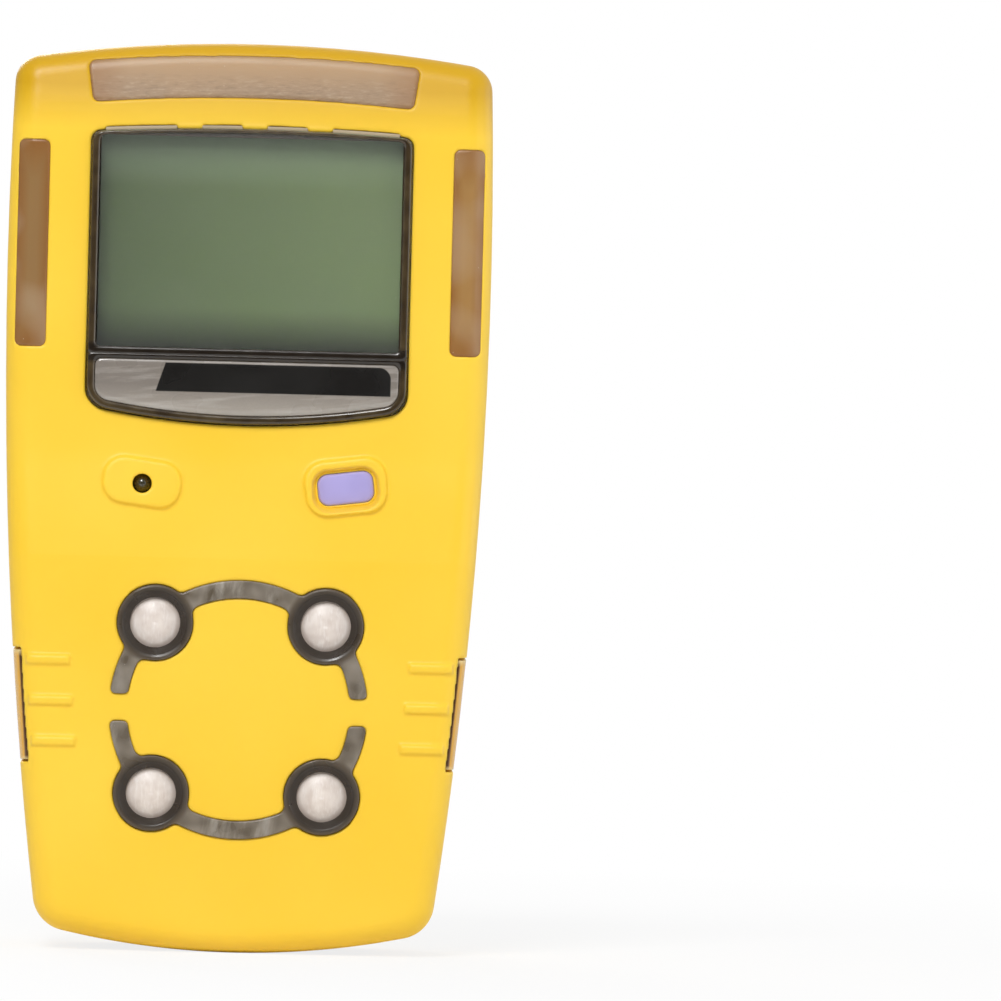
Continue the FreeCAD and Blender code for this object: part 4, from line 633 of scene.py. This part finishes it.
lensSet = {
    "topHigh": paint(178, 144, 104), "topLow": paint(156, 130, 103), "pale": paint(198, 178, 152),
    # left and right: the left lens is painted darker than the right, as painted shade
    "dark": paint(120, 100, 76), "left": paint(148, 114, 70), "right": paint(166, 126, 72),
    "rim": paint(142, 92, 38), "roughness": 0.34, "smoother": 0.06, "rougher": 0.08,
    "grainSize": 0.14, "driftSize": 7.0, "seed": 2.0, "depth": 0.006,
    "edge": 0.25, "patch": 2.0, "wear": 0.25,
    "speckSpacing": 1.4, "speckRadius": 0.05, "speckShare": 0.35,
    "subsurface": 0.25, "subsurfaceRadius": (0.002, 0.0014, 0.0009),
}
sideLensSet = dict(
    lensSet, middleX=27.0, middleZ=22.6,
    rimFrom=0.5, rimTo=1.8, endFrom=8.0, endTo=12.6, rimShare=0.8, endShare=0.8,
    cloudFrom=0.3, cloudTo=0.9, cloudShare=0.28)
topLensSet = dict(
    lensSet, highFrom=42.2, highTo=45.2, lineFrom=44.4, lineTo=42.6,
    lineLength=1.3, lineFineness=0.3, lineTurn=0.03, lineRelief=1.4,
    paleFrom=0.52, paleTo=0.68, paleShare=0.4, darkFrom=0.46, darkTo=0.34, darkShare=0.5,
    endFrom=15.5, endTo=20.0, endShare=0.6, cloudShare=0.3)


def sideLens(tree, values, grain, across, height):
    # smooth, and browner towards its rim; the left lens is painted darker than the right, as painted
    # shade
    colour = blendColour(tree, remap(tree, across, -1.0, 1.0), values["left"], values["right"])
    out = sums(tree, "SUBTRACT", sums(tree, "ABSOLUTE", across), values["middleX"])
    up = sums(tree, "SUBTRACT", height, values["middleZ"])
    sides = ramp(tree, sums(tree, "ABSOLUTE", out), values, "rim")
    ends = ramp(tree, sums(tree, "ABSOLUTE", up), values, "end")
    colour = blendColour(tree, sums(tree, "MAXIMUM", sides, ends), colour, values["rim"])
    cloud = ramp(tree, grain["Drift"], values, "cloud")
    return blendColour(tree, cloud, colour, values["pale"]), grain["Grain"]


def topLens(tree, values, grain, across, height):
    # fine prism lines low in the bar
    lines = ownLines(tree, values["lineLength"], values["lineFineness"], values["lineTurn"])
    share = ramp(tree, height, values, "high")
    colour = blendColour(tree, share, values["topLow"], values["topHigh"])
    low = ramp(tree, height, values, "line")
    for key in ("pale", "dark"):
        picked = ramp(tree, lines, values, key)
        colour = blendColour(tree, sums(tree, "MULTIPLY", picked, low), colour, values[key])
    ends = ramp(tree, sums(tree, "ABSOLUTE", across), values, "end")
    colour = blendColour(tree, ends, colour, values["rim"])
    cloud = sums(tree, "MULTIPLY", grain["Drift"], values["cloudShare"])
    colour = blendColour(tree, cloud, colour, values["topHigh"])
    raised = sums(tree, "MULTIPLY", lines, values["lineRelief"])
    return colour, sums(tree, "ADD", grain["Grain"], raised)


def lensFinish(name, values, face):
    # frosted brown diffuser
    material, tree, shader = newMaterial(name)
    grain = ownGrain(tree, values)
    wear = ownWear(tree, values)
    specks = ownSpecks(tree, values)
    across, _, height = axes(tree)
    colour, relief = face(tree, values, grain, across, height)
    colour = blendColour(tree, specks, colour, values["pale"])
    tree.links.new(colour, shader.inputs["Base Color"])
    rough = values["roughness"]
    gloss = remap(tree, grain["Drift"], 0.0, 1.0,
                  rough - values["smoother"], rough + values["rougher"])
    tree.links.new(gloss, shader.inputs["Roughness"])
    shader.inputs["Subsurface Weight"].default_value = values["subsurface"]
    shader.inputs["Subsurface Radius"].default_value = values["subsurfaceRadius"]
    shader.inputs["Subsurface Scale"].default_value = 1.0
    tree.links.new(bumped(tree, relief, values["depth"], wear["Normal"]), shader.inputs["Normal"])
    return material


finishNode("alarm_lens_top", lensFinish("lensTop", topLensSet, topLens))
lensSide = lensFinish("lensSide", sideLensSet, sideLens)
finishNode("alarm_lens_left", lensSide)
finishNode("alarm_lens_right", lensSide)

rubberSet = {
    "colour": paint(92, 82, 68), "second": paint(138, 129, 117), "wornColour": paint(160, 150, 138),
    "roughness": 0.36, "spread": 0.14, "grainSize": 0.12, "depth": 0.004, "driftSize": 2.6,
    "edge": 0.2, "wear": 0.5, "speckSpacing": 1.3, "speckRadius": 0.05, "speckShare": 0.3,
    "speckColour": paint(170, 162, 150), "seed": 12.0,
}
rubberDark = mouldedFinish("rubberDark", rubberSet)
for name in ("contact_strip", "motor_cradle"):
    finishNode(name, rubberDark)

collarSet = dict(
    rubberSet, pitch=10.6, middle=-34.7,      # the four gas openings
    wellFrom=3.9, wellTo=4.7, well=paint(42, 33, 24), collar=paint(88, 77, 64), collarTo=5.2,
    # the well colour is painted shade, and the pale streak colour is a painted glossy reflection
    smear=paint(178, 172, 162), smearShare=0.7, smearLength=6.0, smearFineness=1.5, smearTurn=1.4,
    smearFrom=0.46, smearTo=0.7, middleFrom=5.4, middleTo=3.6, armFrom=14.2, armTo=15.4, armShare=0.7)


def openingReach(tree):
    # distance from the axis of the nearest gas opening, in millimetres
    x, _, z = axes(tree)
    aside = sums(tree, "SUBTRACT", sums(tree, "ABSOLUTE", x), collarSet["pitch"])
    level = sums(tree, "ABSOLUTE", sums(tree, "SUBTRACT", z, collarSet["middle"]))
    return hypotenuse(tree, aside, sums(tree, "SUBTRACT", level, collarSet["pitch"]))


def shadedWellsAndSheen(tree, colour):
    # the collars are browner than the arcs; the wells are darkened nearly black as painted shade, and
    # the arcs get pale streaks as a painted glossy reflection
    values = collarSet
    reach = openingReach(tree)
    across = sums(tree, "ABSOLUTE", axes(tree)[0])
    lines = ownLines(tree, values["smearLength"], values["smearFineness"], values["smearTurn"])
    bright = sums(tree, "MAXIMUM", ramp(tree, across, values, "middle"),
                  ramp(tree, across, values, "arm"))
    smear = ramp(tree, lines, values, "smear")
    # painted reflection: pale glossy streaks on the middles and arms of the arcs
    colour = blendColour(tree, sums(tree, "MULTIPLY", bright, smear), colour, values["smear"])
    collar = remap(tree, reach, values["collarTo"], values["wellTo"])
    colour = blendColour(tree, collar, colour, values["collar"])
    # painted shade: the wells darkened nearly black
    return blendColour(tree, remap(tree, reach, values["wellTo"], values["wellFrom"]), colour,
                       values["well"])


collarSet["extra"] = shadedWellsAndSheen
collarRubber = mouldedFinish("collarRubber", collarSet)
for name in ("sensor_gasket_upper", "sensor_gasket_lower"):
    finishNode(name, collarRubber)

filterSet = {
    "colour": paint(216, 203, 194), "second": paint(232, 222, 214), "wornColour": paint(244, 238, 232),
    "roughness": 0.42, "spread": 0.06, "grainSize": 0.1, "depth": 0.004, "driftSize": 1.2, "edge": 0.1,
    "speckShare": 0.2, "speckColour": paint(200, 186, 176), "coat": 0.12, "coatRoughness": 0.25,
    # the rim colour is painted shade where the disc turns down into its well
    "rim": paint(176, 160, 148), "rimFrom": 2.5, "rimTo": 3.15, "rimShare": 0.9,
    "streak": paint(246, 240, 236), "streakLength": 2.4, "streakFineness": 0.3,
    "streakTurn": math.pi / 2, "streakFrom": 0.5, "streakTo": 0.75, "streakShare": 0.6,
}


def filterFace(tree, colour):
    # fine upright streaks, and a darker ring painted as shade where the disc turns down into its well
    values = filterSet
    lines = ownLines(tree, values["streakLength"], values["streakFineness"], values["streakTurn"])
    streak = ramp(tree, lines, values, "streak")
    colour = blendColour(tree, streak, colour, values["streak"])
    rim = ramp(tree, openingReach(tree), values, "rim")
    return blendColour(tree, rim, colour, values["rim"])


filterSet["extra"] = filterFace
filterWhite = mouldedFinish("filterWhite", filterSet)
for name in [n for n in nodes if n.startswith("gas_filter")]:
    finishNode(name, filterWhite)

plainFinishes = {
    # slot: colour, second colour, roughness, and what else differs
    "label_silver": ((150, 146, 140), (164, 160, 154), 0.28,
                     {"metallic": 0.6, "wornColour": paint(190, 186, 180)}),
    "seal_cream": ((186, 168, 136), (196, 178, 148), 0.5, {}),
    "carrier_grey": ((92, 94, 96), (104, 106, 108), 0.5, {}),
    "circuit_board": ((22, 74, 44), (30, 92, 54), 0.35, {"coat": 0.4, "driftSize": 2.0}),
    "chip_black": ((30, 30, 32), (40, 40, 42), 0.55, {}),
    "foam_black": ((34, 33, 32), (44, 43, 42), 0.9, {"grainSize": 0.5, "depth": 0.05}),
    "guide_white": ((224, 224, 218), (232, 232, 226), 0.4, {}),
    "lamp_clear": ((220, 196, 160), (230, 206, 170), 0.15, {"coat": 0.6}),
    "sounder_black": ((26, 26, 28), (36, 36, 38), 0.4, {}),
    "membrane_dark": ((40, 37, 26), (54, 50, 34), 0.16,
                      {"coat": 0.8, "coatRoughness": 0.05, "edge": 0.05}),
    "violet_button": ((168, 160, 220), (174, 166, 226), 0.55,
                      {"wornColour": paint(190, 184, 234), "grainSize": 0.1, "depth": 0.003,
                       "driftSize": 3.0}),
    "weight_grey": ((120, 118, 114), (132, 130, 126), 0.35, {"metallic": 1.0}),
    "cell_wrap": ((168, 172, 178), (182, 186, 190), 0.3, {"metallic": 0.5}),
    "lead_red": ((176, 28, 24), (190, 36, 30), 0.4, {}),
    "plug_white": ((228, 226, 216), (236, 234, 226), 0.45, {}),
    "port_black": ((30, 30, 31), (42, 42, 43), 0.45, {}),
    "signal_red": ((64, 10, 14), (80, 14, 18), 0.08, {"coat": 1.0}),
    "label_bare": ((206, 206, 202), (214, 214, 210), 0.38,
                   {"grainSize": 0.4, "depth": 0.003, "wornColour": paint(180, 178, 172)}),
}
metalFinishes = {
    "steel_bright": ((190, 190, 188), (160, 160, 160), 0.28, {}),
    "clip_steel": ((196, 196, 194), (150, 150, 150), 0.3, {"turn": math.pi / 2}),
    "sensor_can": ((176, 176, 172), (150, 150, 148), 0.36, {}),
    "gilt_contact": ((226, 184, 96), (206, 160, 76), 0.24, {}),
    "brass_insert": ((206, 170, 92), (176, 140, 70), 0.32, {}),
    "motor_steel": ((180, 180, 180), (150, 150, 152), 0.25, {}),
}
finishes = {}
for maker, table in ((mouldedFinish, plainFinishes), (metalFinish, metalFinishes)):
    for slot, (colour, second, roughness, others) in table.items():
        values = {"colour": paint(*colour), "second": paint(*second), "roughness": roughness, **others}
        finishes[slot] = maker(slot.title().replace("_", ""), values)
for node in nodes.values():
    slot = node.data.materials[0].name.split(".")[0]
    if slot in finishes:
        finishNode(node.name, finishes[slot])
print("finishes given to", len(nodes), "nodes")

borderSet = {
    "front": -28.78, "rise": 0.34, "half": 19.82, "across": 0.92,
    "viewHigh": 37.25, "viewLow": 9.02, "viewEdge": 0.4, "viewFoot": 1.05, "topBow": 1 / 600,
    "labelHigh": 9.26, "labelLow": 0.74, "labelEdge": 0.98, "barEdge": 0.7, "footBow": 1 / 194,
    "viewCorners": (0.5, 1.2), "viewInnerCorners": (0.6, 0.8),      # at the foot and at the top
    "labelCorners": (2.5, 0.5), "labelInnerCorners": (1.7, 0.9),
    # share of the way in, and share of the rise
    "profile": ((0.0, 0.0), (0.0, 0.55), (0.1, 0.86), (0.3, 1.0), (0.7, 0.94), (0.9, 0.72),
                (1.0, 0.4), (1.0, 0.0)),
    "colour": paint(50, 38, 22), "second": paint(74, 60, 36), "wornColour": paint(150, 132, 104),
    # the bar colour is painted shade on the bar over the label
    "bar": paint(20, 13, 8), "barMiddle": 9.3, "barFrom": 1.5, "barTo": 0.9, "barShare": 0.85,
    "roughness": 0.2, "spread": 0.06, "grainSize": 0.3, "depth": 0.002, "driftSize": 2.2, "wear": 0.5,
    "edge": 0.12, "patch": 1.4, "coat": 0.5, "coatRoughness": 0.06, "seed": 44.0,
}


def shadedBar(tree, colour):
    # painted shade: the bar over the label is darker than the sides
    values = borderSet
    off = sums(tree, "ABSOLUTE", sums(tree, "SUBTRACT", axes(tree)[2], values["barMiddle"]))
    share = ramp(tree, off, values, "bar")
    return blendColour(tree, share, colour, values["bar"])


borderSet["extra"] = shadedBar


def makeBorder(values):
    # two rounded mouldings, one round the view and one round the label
    material = mouldedFinish("borderBrown", values)
    half, inner = values["half"], values["half"] - values["across"]
    topBow, footBow = values["topBow"], values["footBow"]
    viewLow, viewHigh = values["viewLow"], values["viewHigh"]
    labelLow, labelHigh = values["labelLow"], values["labelHigh"]
    rings = {
        "windowBorder": (
            bowedOutline(half, viewLow, viewHigh, 0.0, topBow, *values["viewCorners"]),
            bowedOutline(inner, viewLow + values["viewFoot"], viewHigh - values["viewEdge"],
                         0.0, topBow, *values["viewInnerCorners"])),
        "labelBorder": (
            bowedOutline(half, labelLow, labelHigh, footBow, 0.0, *values["labelCorners"]),
            bowedOutline(inner, labelLow + values["labelEdge"], labelHigh - values["barEdge"],
                         footBow, 0.0, *values["labelInnerCorners"])),
    }
    for name, (outside, inside) in rings.items():
        loops = [(between(outside, inside, share), values["front"] - values["rise"] * height)
                 for share, height in values["profile"]]
        piece = lofted(name, loops, material, ring=True)
        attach(piece, "root")


makeBorder(borderSet)

labelSet = {
    "front": -28.79, "rise": 0.3, "half": 18.86, "low": 1.76, "high": 8.52, "footBow": 1 / 194,
    "lowCorner": 1.6, "highCorner": 0.85, "leastCorner": 0.3,
    # inset, and share of the rise
    "profile": ((0.0, 0.0), (0.0, 0.3), (0.05, 0.5), (0.16, 0.7), (0.36, 0.86), (0.7, 0.96),
                (1.3, 1.0)),
    "fieldLeft": -10.1, "fieldLean": 0.33, "fieldRight": 17.9, "fieldTop": 8.2, "fieldFoot": 4.62,
    "fieldCorner": 1.5, "fieldSoft": 0.05, "cornerFrom": 1.53, "cornerTo": 1.45,
    # silverLow is a painted reflection: the silver turns paler towards the foot
    "silver": paint(134, 126, 118), "silverLow": paint(166, 158, 148), "lowFrom": 5.5, "lowTo": 2.6,
    "glint": paint(196, 190, 182), "glintFrom": 0.5, "glintTo": 0.8, "glintShare": 0.6,
    "black": paint(16, 13, 10), "grainShare": 0.12,
    "lineLength": 9.0, "lineFineness": 0.8, "lineTurn": 0.08,
    "grainSize": 0.2, "driftSize": 5.0, "seed": 21.0, "depth": 0.0006,
    "roughness": 0.24, "spread": 0.1, "coatRoughness": 0.05,
}


def labelFinish(values):
    # bare printed label under resin: a silver plate with one plain black field on it; the silver turns
    # paler towards the foot as a painted reflection
    material, tree, shader = newMaterial("labelPrint")
    x, _, z = axes(tree)
    grain = ownGrain(tree, values)
    lines = ownLines(tree, values["lineLength"], values["lineFineness"], values["lineTurn"])
    # painted reflection: paler silver towards the foot
    low = ramp(tree, z, values, "low")
    silver = blendColour(tree, low, values["silver"], values["silverLow"])
    glint = ramp(tree, lines, values, "glint")
    silver = blendColour(tree, glint, silver, values["glint"])
    fine = sums(tree, "MULTIPLY", grain["Grain"], values["grainShare"])
    silver = blendColour(tree, fine, silver, values["black"])
    # the black field: a leaning left side, a straight top and foot, and one round corner
    soft = values["fieldSoft"]
    drop = sums(tree, "SUBTRACT", values["fieldTop"], z)
    lean = sums(tree, "MULTIPLY", drop, values["fieldLean"])
    left = sums(tree, "SUBTRACT", values["fieldLeft"], lean)
    inside = remap(tree, sums(tree, "SUBTRACT", x, left), -soft, soft)
    inside = sums(tree, "MULTIPLY", inside, remap(tree, drop, -soft, soft))
    foot = remap(tree, z, values["fieldFoot"] - soft, values["fieldFoot"] + soft)
    inside = sums(tree, "MULTIPLY", inside, foot)
    cornerX = values["fieldRight"] - values["fieldCorner"]
    cornerZ = values["fieldTop"] - values["fieldCorner"]
    reach = sums(tree, "MAXIMUM", 0.0, sums(tree, "SUBTRACT", x, cornerX))
    lift = sums(tree, "MAXIMUM", 0.0, sums(tree, "SUBTRACT", z, cornerZ))
    corner = ramp(tree, hypotenuse(tree, reach, lift), values, "corner")
    inside = sums(tree, "MULTIPLY", inside, corner)
    tree.links.new(blendColour(tree, inside, silver, values["black"]), shader.inputs["Base Color"])
    rough = values["roughness"]
    tree.links.new(remap(tree, grain["Drift"], 0.0, 1.0, rough, rough + values["spread"]),
                   shader.inputs["Roughness"])
    shader.inputs["Coat Weight"].default_value = 1.0
    shader.inputs["Coat Roughness"].default_value = values["coatRoughness"]
    tree.links.new(bumped(tree, grain["Grain"], values["depth"]), shader.inputs["Normal"])
    return material


def makeLabel(values):
    # a crowned plate: its edge turns down like a drop of resin
    loops = []
    for inset, height in values["profile"]:
        corners = [max(values["leastCorner"], values[key] - inset)
                   for key in ("lowCorner", "highCorner")]
        outline = bowedOutline(values["half"] - inset, values["low"] + inset, values["high"] - inset,
                               values["footBow"], 0.0, *corners)
        loops.append((outline, values["front"] - values["rise"] * height))
    piece = lofted("labelPlate", loops, labelFinish(values))
    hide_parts("label_plate")
    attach(piece, "root")


makeLabel(labelSet)

buttonSet = {
    "x": 12.65, "z": -6.9, "tilt": 7.2,
    "width": 6.96, "height": 3.96, "corner": 1.3, "leastCorner": 0.25,
    "front": -28.4, "back": -25.4, "soft": 0.35, "steps": 6,
    "crown": ((0.9, 0.03), (1.5, 0.045)),      # inset, and how far it stands up
}


def tilted(outline, values):
    turn = math.radians(values["tilt"])
    c, s = math.cos(turn), math.sin(turn)
    return [(values["x"] + a * c - b * s, values["z"] + a * s + b * c) for a, b in outline]


def makeButton(values):
    # rubbery cap with a soft rolled edge and a faint crown
    front, soft, steps = values["front"], values["soft"], values["steps"]
    rows = [(0.0, values["back"]), (0.0, front + soft)]
    for i in range(1, steps + 1):
        angle = math.pi / 2 * i / steps
        rows.append((soft * (1 - math.cos(angle)), front + soft * (1 - math.sin(angle))))
    rows += [(inset, front - crown) for inset, crown in values["crown"]]
    loops = []
    for inset, y in rows:
        half, rise = values["width"] / 2 - inset, values["height"] / 2 - inset
        corner = max(values["leastCorner"], values["corner"] - inset)
        outline = bowedOutline(half, -rise, rise, 0.0, 0.0, corner, corner, across=8)
        loops.append((tilted(outline, values), y))
    piece = lofted("buttonRubber", loops, finishes["violet_button"])
    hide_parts("button_cap")
    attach(piece, "button")


makeButton(buttonSet)

keyCollarSet = {
    "outer": (3.8, 2.3, 1.6), "inner": (3.495, 1.995, 1.3),      # half width, half height, corner
    "front": -28.35, "back": -26.8,
    # share of the way in, and share of the way forward
    "profile": ((0.0, 0.0), (0.0, 0.9), (0.35, 1.0), (0.8, 0.97), (1.0, 0.9), (1.0, 0.0)),
}


def makeKeyCollar(values):
    # soft lip of the cover that closes round the button
    outlines = []
    for half, rise, corner in (values["outer"], values["inner"]):
        outline = bowedOutline(half, -rise, rise, 0.0, 0.0, corner, corner, across=8)
        outlines.append(tilted(outline, buttonSet))
    reach = values["front"] - values["back"]
    loops = [(between(*outlines, share), values["back"] + reach * depth)
             for share, depth in values["profile"]]
    piece = lofted("keyCollar", loops, yellowSkin, ring=True)
    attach(piece, "root")


makeKeyCollar(keyCollarSet)

portSet = {
    "x": -12.65, "z": -6.9, "radius": 1.14, "front": -28.9, "back": -27.0,
    "straight": 0.25,      # share of its length below the dome
    "rings": 14, "ringTurn": 6.0, "sides": 48,
}


def makePort(values):
    # the sounder's plug: a smooth dark dome that fills the hole
    straight = values["straight"]
    rows = [(1.0, 0.0), (1.0, straight)]
    for i in range(1, values["rings"] + 1):
        angle = math.radians(values["ringTurn"] * i)
        rows.append((math.cos(angle), straight + (1 - straight) * math.sin(angle)))
    loops = []
    for share, depth in rows:
        outline = []
        for k in range(values["sides"]):
            turn, radius = math.tau * k / values["sides"], values["radius"] * share
            outline.append((values["x"] + radius * math.cos(turn),
                            values["z"] + radius * math.sin(turn)))
        loops.append((outline, values["back"] + (values["front"] - values["back"]) * depth))
    piece = lofted("portDome", loops, finishes["membrane_dark"])
    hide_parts("sounder_membrane")
    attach(piece, "root")


makePort(portSet)

rearSet = {
    "half": 16.95, "low": -49.95, "high": -9.05, "corner": 1.4, "leastCorner": 0.4, "cornerShare": 0.6,
    "back": -1.19, "rise": 0.22, "frame": 1.6, "step": 0.09, "slope": 0.12,
    "edge": ((0.0, 0.0), (0.0, 0.7), (0.06, 0.92), (0.16, 1.0)),      # inset, and share of the rise
}


def makeRearLabel(values):
    # bare rating plate: rounded corners, a raised border and a shallow field for print
    sunk = 1 - values["step"] / values["rise"]
    rows = values["edge"] + ((values["frame"], 1.0), (values["frame"] + values["slope"], sunk))
    loops = []
    for inset, height in rows:
        corner = max(values["leastCorner"], values["corner"] - inset * values["cornerShare"])
        outline = bowedOutline(values["half"] - inset, values["low"] + inset, values["high"] - inset,
                               0.0, 0.0, corner, corner, across=6)
        loops.append((outline, values["back"] - values["rise"] * (1 - height)))
    piece = lofted("rearPlate", loops, finishes["label_bare"])
    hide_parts("rear_label")
    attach(piece, "root")


makeRearLabel(rearSet)


def makeSpring():
    # a plain copy of the clip spring's mesh stands in for the hidden node; nothing here makes it twist
    data = nodes["clip_spring"].data.copy()
    piece = bpy.data.objects.new("twistedSpring", data)
    scene.collection.objects.link(piece)
    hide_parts("clip_spring")
    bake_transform(piece)


makeSpring()
print("border, labels, button, port and spring built")

lampSet = {
    # lamp: power, place, size
    "keyLamp": (10.6, (-0.25, -0.95, 0.85), 0.4),
    "fillLamp": (1.2, (0.9, -0.5, 0.15), 0.6),
    "rimLamp": (1.2, (1.0, 0.28, 0.15), 0.5),
    "backLamp": (7.0, (-0.35, 1.3, 0.6), 0.6),
}


def addLamp(name, power, place, size):
    data = bpy.data.lights.new(name, "AREA")
    data.energy = power
    data.size = size
    lamp = bpy.data.objects.new(name, data)
    scene.collection.objects.link(lamp)
    lamp.location = place
    lamp.rotation_euler = (-Vector(place)).to_track_quat("-Z", "Y").to_euler()


def seenDirectly(tree):
    path = put(tree, "LightPath").outputs
    seen = sums(tree, "ADD", path["Is Camera Ray"], path["Is Transmission Ray"], clamp=True)
    return seen, path["Is Glossy Ray"]


worldSet = {
    "fill": 0.38, "leftFill": 0.8, "rightFill": 1.2,        # what lights the case, and from each side
    "dimFrom": -0.35, "dimTo": -0.95, "dim": 0.12,          # reflections are dim from the front
    "leftFrom": -0.9, "rightTo": 0.7, "leftShine": 0.35,    # and from the left
}


def makeWorld(values):
    world = bpy.data.worlds.new("studioWorld")
    scene.world = world
    world.use_nodes = True
    tree = world.node_tree
    background = tree.nodes["Background"]
    seen, glossy = seenDirectly(tree)
    x, y = put(tree, "SeparateXYZ", {0: put(tree, "TexCoord").outputs["Generated"]}).outputs[:2]
    front = remap(tree, y, values["dimFrom"], values["dimTo"], 1.0, values["dim"])
    right = remap(tree, x, values["leftFrom"], values["rightTo"], values["leftShine"], 1.0)
    shine = sums(tree, "MULTIPLY", front, right)
    side = remap(tree, x, -1.0, 1.0, values["leftFill"], values["rightFill"])
    plain = sums(tree, "MULTIPLY", side, values["fill"])
    unseen = put(tree, "Mix", {0: glossy, 2: plain, 3: shine}).outputs[0]
    strength = put(tree, "Mix", {0: seen, 2: unseen, 3: 1.0}).outputs[0]
    background.inputs["Color"].default_value = (1, 1, 1, 1)
    tree.links.new(strength, background.inputs["Strength"])


floorSet = {
    "size": 6.0, "front": 0.42,                     # its width, and how far it reaches forward
    "near": 0.07, "far": 0.3, "nearShare": 0.82,    # it turns to plain white away from the case
    "colour": (0.86, 0.86, 0.86, 1), "second": (0.9, 0.9, 0.9, 1),
    "grainSize": 6.0, "driftSize": 160.0, "seed": 1.0, "roughness": 0.9, "specular": 0.1,
}


def makeFloor(values):
    half = values["size"] / 2
    mesh = bpy.data.meshes.new("studioFloor")
    level = cadBounds[0].z
    near = -values["front"]
    corners = [(-half, near, level), (half, near, level), (half, half, level), (-half, half, level)]
    mesh.from_pydata(corners, [], [(0, 1, 2, 3)])
    floor = bpy.data.objects.new("studioFloor", mesh)
    scene.collection.objects.link(floor)
    material, tree, shader = newMaterial("paleFloor")
    shader.inputs["Roughness"].default_value = values["roughness"]
    shader.inputs["Specular IOR Level"].default_value = values["specular"]
    drift = ownGrain(tree, values)["Drift"]
    tree.links.new(blendColour(tree, drift, values["colour"], values["second"]),
                   shader.inputs["Base Color"])
    seen, _ = seenDirectly(tree)
    where = put(tree, "TexCoord").outputs["Object"]
    away = put(tree, "VectorMath", {0: where}, operation="LENGTH").outputs["Value"]
    share = remap(tree, away, values["near"], values["far"], values["nearShare"], 1.0)
    glow = put(tree, "Emission", {"Color": (1, 1, 1, 1), "Strength": 1.0})
    both = put(tree, "MixShader", {0: sums(tree, "MULTIPLY", seen, share), 1: shader.outputs[0],
                                   2: glow.outputs[0]})
    tree.links.new(both.outputs[0], tree.nodes["Material Output"].inputs["Surface"])
    mesh.materials.append(material)


makeWorld(worldSet)
makeFloor(floorSet)
for name, (power, place, size) in lampSet.items():
    addLamp(name, power, place, size)
scene.view_settings.view_transform = "Standard"
print("studio lit")
